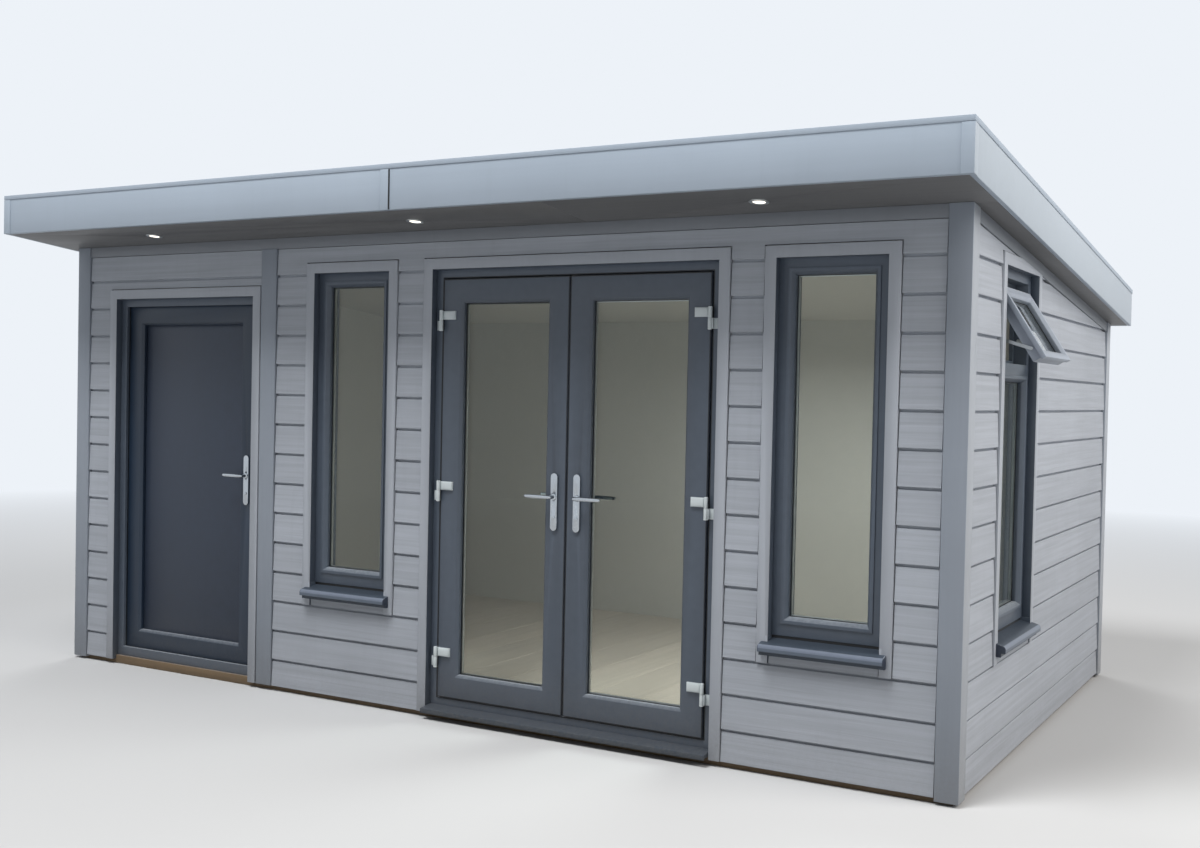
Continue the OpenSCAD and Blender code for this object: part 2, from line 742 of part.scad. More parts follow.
module roof_deck() color(timber) {
    roof_slab(-deck_x, deck_x, deck_front, deck_rear, soffit_t, deck_top);
    roof_slab(-deck_x, deck_x, deck_front, deck_front + kerb_w, deck_top - lap, fascia_h);
    for (side = [0, 1]) mirror([side, 0, 0])
        roof_slab(deck_x - kerb_w, deck_x, deck_front, deck_rear, deck_top - lap, fascia_h);
}

membrane_lap = 10;

module roof_membrane() color("#3c3f42")
    roof_slab(-deck_x + kerb_w, deck_x - kerb_w, deck_front + kerb_w, roof_rear + membrane_lap,
        deck_top + seat, deck_top + seat + membrane_t);

// Edge trim: a flat cap over fascia and kerb with a short lip in front
trim_lip = 18;
cover_t = 3;

module roof_edge_trim() color(trim_grey) {
    lip_z = fascia_h - trim_lip;
    top = fascia_h + seat;
    difference() {
        roof_slab(-roof_x - cover_t, roof_x + cover_t, roof_front - cover_t, roof_rear, lip_z, top + cover_t);
        roof_slab(-roof_x - seat, roof_x + seat, roof_front - seat, roof_rear + lap, lip_z - lap, top);
        roof_slab(-deck_x + kerb_w, deck_x - kerb_w, deck_front + kerb_w, roof_rear + lap,
            lip_z - lap, top + cover_t + lap);
    }
}

module fascia_boards() color(trim_grey) {
    half = joint_gap / 2;
    for (side = [0, 1]) mirror([side, 0, 0]) {
        roof_slab(half, roof_x, roof_front, deck_front, 0, fascia_h);
        roof_slab(deck_x, roof_x, deck_front + joint_gap, roof_rear, 0, fascia_h);
    }
    roof_slab(-deck_x + joint_gap, deck_x - joint_gap, deck_rear, roof_rear, 0, deck_top);
}

// Covers over the joint in the fascia and round its front corners, up to the edge trim's lip
module fascia_covers() color(trim_grey) {
    w = fascia_cover_w;
    top = fascia_h - trim_lip - joint_gap;
    roof_slab(-w / 2, w / 2, roof_front - cover_t, roof_front, 0, top);
    for (side = [0, 1]) mirror([side, 0, 0]) {
        roof_slab(roof_x - w, roof_x + cover_t, roof_front - cover_t, roof_front, 0, top);
        roof_slab(roof_x, roof_x + cover_t, roof_front - lap, roof_front + w, 0, top);
    }
}

// Soffit boards with holes for the lights
soffit_joint = french_x + 90;
light_x = [-light_pitch, 0, light_pitch];
light_y = (deck_front - core_y) / 2;
light_r = 42;
light_rim = 8;
rim_t = 4;
hole_play = 2;

module soffit_boards() color(trim_grey) difference() {
    union() {
        roof_slab(-deck_x, soffit_joint, deck_front, -core_y, 0, soffit_t - seat);
        roof_slab(soffit_joint + joint_gap, deck_x, deck_front, -core_y, 0, soffit_t - seat);
        for (side = [0, 1]) mirror([side, 0, 0])
            roof_slab(core_x, deck_x, -core_y + joint_gap, deck_rear, 0, soffit_t - seat);
        roof_slab(-core_x + joint_gap, core_x - joint_gap, core_y, deck_rear, 0, soffit_t - seat);
    }
    for (x = light_x) translate([x, light_y, soffit_z(light_y) - 2 * soffit_t])
        cylinder(r = light_r - light_rim + hole_play, h = 5 * soffit_t);
}

module soffit_lights() color("#f4efe2")
    for (x = light_x) translate([x, light_y, soffit_z(light_y)]) rotate([-atan(roof_fall), 0, 0]) {
        translate([0, 0, -rim_t]) cylinder(r = light_r, h = rim_t - seat);
        cylinder(r = light_r - light_rim, h = soffit_t - 2 * lap, center = true);
    }

// Gutter along the rear eave, its ends inside the line of the side fascias
gutter_t = 3;
gutter_in = 60;
gutter_gap = 6;
gutter_drop = 20;
gutter_x = deck_x - gutter_in;
gutter_y = roof_rear + gutter_r + gutter_gap;
gutter_z = soffit_z(roof_rear) + deck_top - gutter_drop;
bracket_count = 6;
bracket_end = 100;
bracket_w = 24;
bracket_h = 30;
pipe_x = -gutter_x + 2 * pipe_r;

module rear_gutter() color(anthracite) {
    difference() {
        translate([-gutter_x, gutter_y, gutter_z]) rotate([0, 90, 0]) difference() {
            cylinder(r = gutter_r, h = 2 * gutter_x);
            translate([0, 0, gutter_t]) cylinder(r = gutter_r - gutter_t, h = 2 * gutter_x - 2 * gutter_t);
        }
        block(-long, long, gutter_y - 2 * gutter_r, gutter_y + 2 * gutter_r, gutter_z, gutter_z + 2 * gutter_r);
        translate([pipe_x, gutter_y, gutter_z - 1.5 * gutter_r]) cylinder(r = pipe_r - gutter_t, h = gutter_r);
    }
    bracket_step = 2 * (gutter_x - bracket_end) / (bracket_count - 1);
    for (i = [0:bracket_count - 1])
        translate([-gutter_x + bracket_end + i * bracket_step - bracket_w / 2, roof_rear, gutter_z - bracket_h])
            cube([bracket_w, gutter_gap + lap, bracket_h]);
}

// Downpipe: out of the gutter, back to the wall in a swan neck and down to just above the ground.
// Each bend is an eighth of a turn, and a socket covers each of its ends.
pipe_gap = 25;
pipe_y = rear_y + pipe_r + pipe_gap;
pipe_foot = 60;
socket_t = 4;
socket_l = 26;
clip_w = 28;
mouth = 80;
outlet_l = 40;
bend_r = pipe_r + 16;
neck_top = gutter_z - gutter_r - outlet_l;
neck_l = (gutter_y - pipe_y - 2 * bend_r * (1 - cos(45))) / sin(45);
neck_low = neck_top - 2 * bend_r * sin(45) - neck_l * cos(45);

module pipe_bend(y, z, from_angle)
    translate([pipe_x, y, z]) rotate([90, 0, 90]) rotate([0, 0, from_angle])
        rotate_extrude(angle = 45) translate([bend_r, 0]) circle(pipe_r);

module socket(y, z, tilt)
    translate([pipe_x, y, z]) rotate([tilt, 0, 0])
        cylinder(r = pipe_r + socket_t, h = socket_l, center = true);

module downpipe() color(anthracite) {
    bore = pipe_r - gutter_t;
    slope_y = gutter_y - bend_r * (1 - cos(45));
    slope_z = neck_top - bend_r * sin(45);
    difference() {
        union() {
            translate([pipe_x, gutter_y, neck_top]) cylinder(r = pipe_r, h = gutter_z - gutter_r - neck_top);
            pipe_bend(gutter_y - bend_r, neck_top, -45);
            translate([pipe_x, slope_y, slope_z]) rotate([135, 0, 0]) cylinder(r = pipe_r, h = neck_l);
            pipe_bend(pipe_y + bend_r, neck_low, 135);
            translate([pipe_x, pipe_y, pipe_foot]) cylinder(r = pipe_r, h = neck_low - pipe_foot);
            socket(gutter_y, neck_top, 0);
            socket(slope_y, slope_z, 135);
            socket(slope_y - neck_l * sin(45), slope_z - neck_l * cos(45), 135);
            socket(pipe_y, neck_low, 0);
            for (z = [pipe_foot + mouth, (pipe_foot + neck_low) / 2, neck_low - 2 * mouth]) {
                translate([pipe_x, pipe_y, z]) cylinder(r = pipe_r + socket_t, h = socket_l);
                block(pipe_x - clip_w / 2, pipe_x + clip_w / 2, rear_y, pipe_y, z, z + socket_l);
            }
        }
        translate([pipe_x, gutter_y, neck_top + outlet_l / 2]) cylinder(r = bore, h = mouth);
        translate([pipe_x, pipe_y, pipe_foot - lap]) cylinder(r = bore, h = mouth / 2);
    }
}

base_frame();
floor_deck();
front_left_wall();
store_head_wall();
front_middle_wall();
french_head_wall();
front_right_wall();
left_wall();
right_wall();
rear_wall();
front_cladding();
side_cladding();
rear_cladding();
corner_boards();
divider_board();
frieze_boards();
opening_surrounds();
store_door_frame();
french_door_frame();
front_window_frames();
side_window_frame();
window_glass();
window_sills();
door_sill();
vent_sash();
vent_stays();
frame_hinges();
french_left_leaf();
french_left_glass();
french_left_hardware();
french_left_lever();
french_right_leaf();
french_right_glass();
french_right_hardware();
french_right_lever();
store_door_leaf();
store_door_panel();
store_door_hardware();
store_door_lever();
roof_deck();
roof_membrane();
roof_edge_trim();
fascia_boards();
fascia_covers();
soffit_boards();
soffit_lights();
rear_gutter();
downpipe();
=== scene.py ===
# %% [markdown]
# # A garden office pod
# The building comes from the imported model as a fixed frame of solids: walls, boards, frames, leaves and roof, each
# at its real place in metres, +Z up, with the front facing -Y. This script dresses that frame. Plain solids are
# either given a better finish, or replaced by a piece that is modelled more closely in the same place.

# %% Load the fixed frame
import json
import math
import random
import bpy
from mathutils import Matrix, Vector


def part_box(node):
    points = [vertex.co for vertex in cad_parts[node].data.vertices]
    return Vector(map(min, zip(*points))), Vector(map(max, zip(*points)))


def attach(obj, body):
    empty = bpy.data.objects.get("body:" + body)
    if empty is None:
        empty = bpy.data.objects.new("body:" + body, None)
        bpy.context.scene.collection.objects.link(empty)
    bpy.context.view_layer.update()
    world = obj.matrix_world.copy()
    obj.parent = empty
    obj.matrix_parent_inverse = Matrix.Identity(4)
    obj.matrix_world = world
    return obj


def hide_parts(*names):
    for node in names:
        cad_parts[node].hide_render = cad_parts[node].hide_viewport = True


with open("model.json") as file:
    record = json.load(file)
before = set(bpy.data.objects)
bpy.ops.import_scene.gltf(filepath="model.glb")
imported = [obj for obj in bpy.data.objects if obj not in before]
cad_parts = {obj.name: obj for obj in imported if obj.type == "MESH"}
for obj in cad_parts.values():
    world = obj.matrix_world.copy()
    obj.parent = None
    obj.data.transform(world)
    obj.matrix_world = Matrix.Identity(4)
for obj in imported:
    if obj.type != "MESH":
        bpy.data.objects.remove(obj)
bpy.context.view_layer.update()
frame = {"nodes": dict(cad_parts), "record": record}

nodes = frame["nodes"]
body_of = {n: b for b, members in frame["record"]["behaviour"]["bodies"].items() for n in members}

# %% [markdown]
# ## The camera
# The pod was photographed from its right front corner at eye height. The focal length and the place of the camera were
# worked out from the lines of the lapped boards. It is given as a yaw about the vertical, a slight downward pitch about
# the camera's own side axis and a slight roll about its line of sight.

# %% Set the camera
def rotated(degrees, axis):
    return Matrix.Rotation(math.radians(degrees), 4, axis)


EYE, YAW, PITCH, ROLL = (3.848, -6.612, 1.554), 30.01, 88.66, 1.19
camera = bpy.data.objects.new("camera", bpy.data.cameras.new("camera"))
bpy.context.scene.collection.objects.link(camera)
camera.data.lens, camera.data.sensor_width = 40.58, 36.0
camera.matrix_world = Matrix.Translation(EYE) @ rotated(YAW, "Z") @ rotated(PITCH, "X") @ rotated(ROLL, "Z")
bpy.context.scene.camera = camera
print("camera looks along", camera.matrix_world.to_quaternion() @ Vector((0, 0, -1)))

# %% [markdown]
# ## Nodes without repetition
# Materials are node trees. Small helpers keep them readable: one adds a node with its settings and wires, one opens a
# node group, one turns a screen colour into linear light, and the others stand for nodes that come up often.

# %% Helpers for node trees
def add(tree, kind, settings=None, **wires):
    node = tree.nodes.new("ShaderNode" + kind)
    for name, value in (settings or {}).items():
        setattr(node, name, value)
    for name, value in wires.items():
        key = int(name[1:]) if name[0] == "i" and name[1:].isdigit() else name.replace("_", " ")
        if isinstance(value, bpy.types.NodeSocket):
            tree.links.new(value, node.inputs[key])
        else:
            node.inputs[key].default_value = value
    return node


def open_group(name, inputs, outputs):
    tree = bpy.data.node_groups.new(name, "ShaderNodeTree")
    for label, kind, value in inputs:
        tree.interface.new_socket(label, in_out="INPUT", socket_type="NodeSocket" + kind).default_value = value
    for label, kind in outputs:
        tree.interface.new_socket(label, in_out="OUTPUT", socket_type="NodeSocket" + kind)
    return tree, tree.nodes.new("NodeGroupInput").outputs, tree.nodes.new("NodeGroupOutput").inputs


def screen(red, green, blue):
    def linear(c):
        c /= 255
        return c / 12.92 if c <= 0.04045 else ((c + 0.055) / 1.055) ** 2.4
    return linear(red), linear(green), linear(blue), 1.0


def maths(tree, operation, first, second=0.0, clamp=False):
    return add(tree, "Math", {"operation": operation, "use_clamp": clamp}, i0=first, i1=second).outputs[0]


def spread(tree, value, low, high, to_low, to_high):
    """Map low to high onto to_low to to_high, and hold it there past both ends."""
    return add(tree, "MapRange", {}, Value=value, From_Min=low, From_Max=high, To_Min=to_low,
               To_Max=to_high).outputs[0]


def mixed(tree, first, share, second):
    """A share of one value and the rest of another."""
    return maths(tree, "ADD", maths(tree, "MULTIPLY", first, share), maths(tree, "MULTIPLY", second, 1 - share))


def blend(tree, share, first, second):
    """One colour that turns into another as share goes from 0 to 1."""
    return add(tree, "Mix", {"data_type": "RGBA"}, i0=share, i6=first, i7=second).outputs[2]


def scaled(tree, vector, factor):
    return add(tree, "VectorMath", {"operation": "SCALE"}, i0=vector, Scale=factor).outputs[0]


def noise(tree, where, scale, detail=2.0, roughness=0.5, distortion=0.0):
    return add(tree, "TexNoise", Vector=where, Scale=scale, Detail=detail, Roughness=roughness,
               Distortion=distortion).outputs[0]


def either(tree, first, *others):
    """1 for a ray of any of the named kinds, otherwise 0."""
    path = add(tree, "LightPath")
    found = path.outputs[first]
    for kind in others:
        found = maths(tree, "MAXIMUM", found, path.outputs[kind])
    return found


print("a mid grey of 128 is", round(screen(128, 128, 128)[0], 3), "in linear light")

# %% [markdown]
# ## Grain shared by boards, trim and planks
# Sawn, moulded or foiled boards all carry streaks that run along the board: some a few millimetres wide, and finer
# ones between them. Noise that is stretched along one axis gives both. The group puts out a height for a bump and
# a tone for the colour, and each material says how long and how fine its streaks are.

# %% Node group: streaks along a board
streaks, given, made = open_group(
    "board_streaks", [("Vector", "Vector", (0, 0, 0)), ("Along", "Float", 6.0), ("Across", "Float", 220.0)],
    [("Height", "Float"), ("Tone", "Float")])
parts = add(streaks, "SeparateXYZ", Vector=given["Vector"]).outputs
stretched = add(streaks, "CombineXYZ", X=maths(streaks, "MULTIPLY", parts[0], given["Along"]),
                Y=maths(streaks, "MULTIPLY", parts[1], given["Across"]),
                Z=maths(streaks, "MULTIPLY", parts[2], given["Across"])).outputs[0]
fine = noise(streaks, stretched, 1.0, 4.0, 0.6, 0.25)
broad = noise(streaks, scaled(streaks, stretched, 0.23), 1.0, 2.0, 0.5, 0.6)
streaks.links.new(mixed(streaks, fine, 0.6, broad), made["Height"])
streaks.links.new(mixed(streaks, fine, 0.35, broad), made["Tone"])
print(streaks.name, "has", len(streaks.nodes), "nodes")

# %% [markdown]
# ## Weather on everything outside, and a painted sheen
# A finished outdoor surface is never one colour. Large soft patches differ a little, rain leaves faint upright runs,
# splashed rain dulls the lowest hand's width, and what faces up turns paler: partly settled dust and partly a painted
# highlight of the sky, which is strong on the foils of frames and leaves. One group lays all four over any colour, and
# also says how much rougher the dirty and paler places are.

# %% Node group: weather and painted sheen
weather_and_sheen, given, made = open_group(
    "weather_and_sheen", [("Color", "Color", (0.5, 0.5, 0.5, 1)), ("Patches", "Float", 0.06), ("Runs", "Float", 0.05),
                ("Splash", "Float", 0.25), ("Dust", "Float", 0.2)],
    [("Color", "Color"), ("Dirt", "Float")])
here = add(weather_and_sheen, "TexCoord").outputs["Object"]
height = add(weather_and_sheen, "SeparateXYZ", Vector=here).outputs[2]
cloud = noise(weather_and_sheen, here, 1.7, 3.0, 0.55)
grit = noise(weather_and_sheen, here, 70.0, 2.0, 0.6)
thin = add(weather_and_sheen, "VectorMath", {"operation": "MULTIPLY"}, i0=here, i1=(22.0, 22.0, 1.3)).outputs[0]
runs = noise(weather_and_sheen, thin, 1.0, 3.0, 0.6)
patch = maths(weather_and_sheen, "MULTIPLY", spread(weather_and_sheen, cloud, 0.3, 0.7, -1.0, 1.0), given["Patches"])
run = maths(weather_and_sheen, "MULTIPLY", spread(weather_and_sheen, runs, 0.55, 0.8, 0.0, -1.0), given["Runs"])
toned = scaled(weather_and_sheen, given["Color"], maths(weather_and_sheen, "ADD", maths(weather_and_sheen, "ADD", patch, run), 1.0))
low = maths(weather_and_sheen, "MULTIPLY", spread(weather_and_sheen, height, 0.02, 0.34, 1.0, 0.0),
            spread(weather_and_sheen, grit, 0.35, 0.65, 0.4, 1.0))
splash = maths(weather_and_sheen, "MULTIPLY", low, given["Splash"], True)
muddy = blend(weather_and_sheen, splash, toned, screen(126, 119, 108))
# What faces up is blended to a pale blue-grey: partly settled dust, partly a painted highlight of the sky.
up = add(weather_and_sheen, "SeparateXYZ", Vector=add(weather_and_sheen, "NewGeometry").outputs["Normal"]).outputs[2]
ledge = maths(weather_and_sheen, "MULTIPLY", spread(weather_and_sheen, up, 0.45, 0.9, 0.0, 1.0),
              spread(weather_and_sheen, grit, 0.3, 0.7, 0.5, 1.0))
dust_and_sheen = maths(weather_and_sheen, "MULTIPLY", ledge, given["Dust"], True)
weather_and_sheen.links.new(blend(weather_and_sheen, dust_and_sheen, muddy, screen(150, 156, 163)), made["Color"])
faint = spread(weather_and_sheen, cloud, 0.3, 0.7, 0.0, 0.12)
weather_and_sheen.links.new(maths(weather_and_sheen, "ADD", maths(weather_and_sheen, "ADD", splash, dust_and_sheen), faint), made["Dirt"])
print(weather_and_sheen.name, "has", len(weather_and_sheen.nodes), "nodes")

# %% [markdown]
# ## Pale edges and fine orange peel
# Paint and foil thin out over an arris, and the edges also carry a painted highlight: one slightly paler line stands
# for both. Pointiness, which is high where the surface turns outwards, finds them. The second group is the fine, even
# unevenness of sprayed paint and moulded plastic, which breaks up a reflection without being seen as a pattern.

# %% Node groups: pale edges and orange peel
edges, given, made = open_group("pale_edges", [("Color", "Color", (0.5, 0.5, 0.5, 1)), ("Amount", "Float", 0.3)],
                                [("Color", "Color")])
# Arrises are made up to 1.6 times paler: partly worn paint, partly a painted highlight.
arris = spread(edges, add(edges, "NewGeometry").outputs["Pointiness"], 0.52, 0.6, 0.0, 1.0)
worn_and_lit = maths(edges, "MULTIPLY", arris, given["Amount"], True)
edges.links.new(blend(edges, worn_and_lit, given["Color"], scaled(edges, given["Color"], 1.6)), made["Color"])

peel, given, made = open_group("orange_peel", [("Scale", "Float", 500.0)], [("Height", "Float"), ("Tone", "Float")])
here = add(peel, "TexCoord").outputs["Object"]
small = noise(peel, here, given["Scale"])
large = noise(peel, here, maths(peel, "MULTIPLY", given["Scale"], 0.04))
peel.links.new(mixed(peel, small, 0.7, large), made["Height"])
peel.links.new(large, made["Tone"])
print("groups:", [g.name for g in bpy.data.node_groups])

# %% [markdown]
# ## One way to make a finish
# Most finishes here differ only in colour, gloss, grain, how dirty they get and how much painted sheen they carry. This
# maker wires the shared groups into one Principled shader: grain or peel into tone and bump, weather and the painted
# sheen over that, pale edges last. Grain is given by how fine it is along and across the board, bump in millimetres,
# and dirt_and_sheen as patches, runs, splash, and a dust on what faces up that is partly a painted highlight.

# %% A maker of finishes
def finish(name, colour, rough, grain=None, bump=0.2, tone=0.12, dirt_and_sheen=(0.05, 0.05, 0.25, 0.2), edge=0.3, metal=0.0,
           turned=None, uv=None):
    material = bpy.data.materials.new(name)
    material.use_nodes = True
    tree = material.node_tree
    shader = tree.nodes["Principled BSDF"]
    where = (add(tree, "UVMap", {"uv_map": uv}).outputs[0] if uv
             else add(tree, "TexCoord").outputs["Object"])
    if turned:
        where = add(tree, "Mapping", Vector=where, Rotation=turned).outputs[0]
    if grain:
        texture = add(tree, "Group", {"node_tree": streaks}, Vector=where, Along=grain[0], Across=grain[1])
    else:
        texture = add(tree, "Group", {"node_tree": peel}, Scale=600.0)
    value = spread(tree, texture.outputs["Tone"], 0.25, 0.75, 1.0 - tone, 1.0 + tone)
    if uv:
        board = add(tree, "Attribute", {"attribute_name": "tone"}).outputs["Fac"]
        value = maths(tree, "MULTIPLY", value, board)
    toned = scaled(tree, screen(*colour)[:3], value)
    # Weather, with a dust on what faces up that is partly a painted sky highlight.
    worn_and_sheen = add(tree, "Group", {"node_tree": weather_and_sheen}, Color=toned, Patches=dirt_and_sheen[0], Runs=dirt_and_sheen[1], Splash=dirt_and_sheen[2],
               Dust=dirt_and_sheen[3])
    edged = add(tree, "Group", {"node_tree": edges}, Color=worn_and_sheen.outputs["Color"], Amount=edge)
    tree.links.new(edged.outputs["Color"], shader.inputs["Base Color"])
    gloss = maths(tree, "ADD", spread(tree, texture.outputs["Height"], 0.3, 0.7, rough - 0.05, rough + 0.07),
                  maths(tree, "MULTIPLY", worn_and_sheen.outputs["Dirt"], 0.4), True)
    tree.links.new(gloss, shader.inputs["Roughness"])
    shader.inputs["Metallic"].default_value = metal
    relief = add(tree, "Bump", Height=texture.outputs["Height"], Strength=1.0, Distance=bump / 1000)
    tree.links.new(relief.outputs[0], shader.inputs["Normal"])
    return material


print("one maker serves every finish but the glass")

# %% [markdown]
# ## The finishes
# The boards are embossed with timber grain and each has its own tone. Trim and corners are the same material with a
# smooth face, so only a faint grain is left, and those that stand upright have it turned. Some copies of the trim carry
# painted light: the level trim under the eaves and the soffit are darker, as painted shade, and the ends of the corner
# boards and fascia are paler, as painted light. Frames, leaves and sills are wrapped in a satin foil, which differs a
# little from piece to piece. The vent sash's foil is much paler, a painted reflection of the sky, and the sill's
# shoulder has a paler foil as a painted highlight.

# %% Make the finishes
UPRIGHT = (0, math.radians(90), 0)
trim = {"grain": (3.0, 160.0), "bump": 0.12, "tone": 0.03}
fascia = {"grain": (1.2, 90.0), "bump": 0.25, "tone": 0.035, "dirt_and_sheen": (0.03, 0.03, 0.0, 0.3)}
foil = {"rough": 0.38, "bump": 0.05, "tone": 0.05, "edge": 0.5}
board_paint = finish("board_paint", (166, 171, 179), 0.62, (5.0, 240.0), 0.9, 0.16, (0.05, 0.05, 0.12, 0.25), 0.1,
                     uv="board")
trim_upright = finish("trim_upright", (166, 171, 179), 0.5, **trim, turned=UPRIGHT)
# The level trim under the eaves is darker than the upright trim: painted shade.
trim_level_shaded = finish("trim_level_shaded", (119, 123, 129), 0.5, **trim)
corner_paint = finish("corner_paint", (139, 146, 156), 0.45, **trim, turned=UPRIGHT)
# Paler copies for the end faces of corner boards and fascia: painted light.
corner_lit_ends = finish("corner_lit_ends", (158, 163, 170), 0.45, **trim, turned=UPRIGHT)
fascia_paint = finish("fascia_paint", (157, 168, 180), 0.42, **fascia)
fascia_lit_ends = finish("fascia_lit_ends", (168, 177, 186), 0.42, **fascia)
# The soffit is a darker grey than the other trim: painted shade under the overhang.
soffit_shaded = finish("soffit_shaded", (102, 102, 103), 0.5, (1.2, 90.0), 0.15, 0.04, (0.05, 0.0, 0.0, 0.0))
# Frames, leaves, vent and door panel carry a dust of 0.9: most of that pale on what faces up is a painted highlight of
# the sky.
frame_foil = finish("frame_foil", (79, 88, 100), dirt_and_sheen=(0.05, 0.05, 0.2, 0.9), **foil)
leaf_foil = finish("leaf_foil", (77, 85, 96), dirt_and_sheen=(0.05, 0.05, 0.2, 0.9), **foil)
# The vent sash is much paler than the other frames: a painted reflection of the sky.
vent_foil_sky_lit = finish("vent_foil_sky_lit", (150, 158, 170), dirt_and_sheen=(0.05, 0.05, 0.0, 0.9), **foil)
store_foil = finish("store_foil", (31, 44, 60), dirt_and_sheen=(0.05, 0.05, 0.1, 0.9), **foil)
panel_foil = finish("panel_foil", (45, 53, 67), 0.4, None, 0.06, 0.06, (0.06, 0.05, 0.15, 0.9), 0.4)
sill_foil = finish("sill_foil", (48, 57, 68), 0.42, None, 0.05, 0.05, (0.06, 0.05, 0.2, 0.06), 0.5)
# A paler foil for the sill's shoulder: a painted highlight.
sill_painted_highlight = finish("sill_painted_highlight", (100, 108, 122), 0.35, None, 0.05, 0.05, (0.06, 0.05, 0.2, 0.1), 0.5)
print(len(bpy.data.materials), "materials for boards, trim and frames")

# %% Make the finishes of timber, lining, sheet and metal
timber = finish("timber", (118, 98, 74), 0.8, (6.0, 190.0), 0.5, 0.18, (0.12, 0.08, 0.3, 0.3), 0.1)
lining_paint = finish("lining_paint", (206, 205, 200), 0.7, None, 0.08, 0.02, (0.02, 0.0, 0.0, 0.0), 0.0)
floor_oak = finish("floor_oak", (200, 190, 178), 0.45, (4.0, 130.0), 0.15, 0.12, (0.04, 0.0, 0.0, 0.1), 0.1,
                   uv="board")
sheet_black = finish("sheet_black", (62, 63, 65), 0.7, None, 0.3, 0.08, (0.1, 0.02, 0.0, 0.5), 0.1)
rubber = finish("rubber", (26, 27, 29), 0.55, None, 0.05, 0.05, (0.02, 0.0, 0.1, 0.2), 0.1)
hinge_satin = finish("hinge_satin", (205, 213, 215), 0.35, None, 0.03, 0.02, (0.02, 0.02, 0.1, 0.1), 0.2)
chrome = finish("chrome", (184, 189, 194), 0.2, None, 0.01, 0.02, (0.02, 0.0, 0.0, 0.05), 0.0, metal=1.0)
spacer_metal = finish("spacer_metal", (186, 190, 192), 0.3, None, 0.02, 0.03, (0.02, 0.0, 0.0, 0.0), 0.0, metal=0.8)
gutter_plastic = finish("gutter_plastic", (54, 60, 68), 0.35, None, 0.05, 0.04, (0.06, 0.06, 0.3, 0.4), 0.3)
print(len(bpy.data.materials), "materials so far")

# %% [markdown]
# ## Glass and the light fittings
# Window glass bends light, reflects a little and has a faint green tint. A lamp's rays don't pass through glass that
# bends them, so shadow rays and scattered light meet a plain transparent shader instead, and the room is lit. The
# pane of the open vent mirrors more. The soffit lights have a frosted lens that glows softly.

# %% Glass and lamp lens
def clear_glass(name, bending):
    material = bpy.data.materials.new(name)
    material.use_nodes = True
    tree = material.node_tree
    shader = tree.nodes["Principled BSDF"]
    shader.inputs["Base Color"].default_value = (0.88, 0.91, 0.89, 1)
    shader.inputs["Transmission Weight"].default_value = 1.0
    shader.inputs["IOR"].default_value = bending
    smear = noise(tree, add(tree, "TexCoord").outputs["Object"], 9.0, 3.0)
    tree.links.new(spread(tree, smear, 0.45, 0.8, 0.0, 0.002), shader.inputs["Roughness"])
    through = add(tree, "BsdfTransparent", Color=(0.94, 0.955, 0.945, 1))
    soft_ray = either(tree, "Is Shadow Ray", "Is Diffuse Ray")
    swap = add(tree, "MixShader", i0=soft_ray, i1=shader.outputs[0], i2=through.outputs[0])
    tree.links.new(swap.outputs[0], tree.nodes["Material Output"].inputs["Surface"])
    return material


glass, vent_glass = clear_glass("window_glass", 1.27), clear_glass("vent_glass", 1.9)

lens = finish("lamp_lens", (240, 236, 226), 0.35, None, 0.1, 0.03, (0.0, 0.0, 0.0, 0.0), 0.0)
lens_shader = lens.node_tree.nodes["Principled BSDF"]
lens_shader.inputs["Emission Color"].default_value = (1.0, 0.93, 0.8, 1)
lens_shader.inputs["Emission Strength"].default_value = 2.5
print("glass and lens are ready")

# %% [markdown]
# ## Modelling by hand, in code
# Each operator acts on whatever is selected, so every step first selects just one object. These helpers cover the
# steps that come up all the time: a choice of vertices or faces by where they are, a block at its place with eased
# edges, applying a modifier, cutting a hole and merging what lies double.

# %% Helpers for selecting
def only(*objects):
    bpy.ops.object.select_all(action="DESELECT")
    for o in objects:
        o.select_set(True)
    bpy.context.view_layer.objects.active = objects[0]


def choose(obj, kind, test):
    """In edit mode, select the vertices or faces of obj that pass a test, and nothing else."""
    bpy.ops.object.mode_set(mode="EDIT")
    bpy.ops.mesh.select_mode(type="VERT" if kind == "verts" else "FACE")
    bpy.ops.mesh.select_all(action="DESELECT")
    bpy.ops.object.mode_set(mode="OBJECT")
    for part in (obj.data.vertices if kind == "verts" else obj.data.polygons):
        part.select = bool(test(part))
    bpy.ops.object.mode_set(mode="EDIT")


def whole(obj):
    """In edit mode, select all of obj."""
    only(obj)
    bpy.ops.object.mode_set(mode="EDIT")
    bpy.ops.mesh.select_mode(type="VERT")
    bpy.ops.mesh.select_all(action="SELECT")


def leave():
    bpy.ops.object.mode_set(mode="OBJECT")


print("in edit mode, only what was chosen is changed")

# %% Helpers for modelling
MERGE = 0.00002


def block(name, low, high, ease=0.0, segments=2):
    low, high = Vector(low), Vector(high)
    bpy.ops.object.select_all(action="DESELECT")
    bpy.ops.mesh.primitive_cube_add(size=1, location=(low + high) / 2)
    o = bpy.context.object
    o.name = o.data.name = name
    o.scale = high - low
    bpy.ops.object.transform_apply(location=True, rotation=False, scale=True)
    if ease:
        whole(o)
        bpy.ops.mesh.bevel(offset=ease, segments=segments, affect="EDGES")
        leave()
    return o


def apply_modifier(obj, kind, **settings):
    only(obj)
    modifier = obj.modifiers.new(kind.lower(), kind)
    for key, value in settings.items():
        setattr(modifier, key, value)
    bpy.ops.object.modifier_apply(modifier=modifier.name)
    return obj


def bevelled(obj, width, segments, angle):
    """Round every edge of obj that turns by more than an angle in degrees."""
    return apply_modifier(obj, "BEVEL", width=width, segments=segments, limit_method="ANGLE",
                          angle_limit=math.radians(angle))


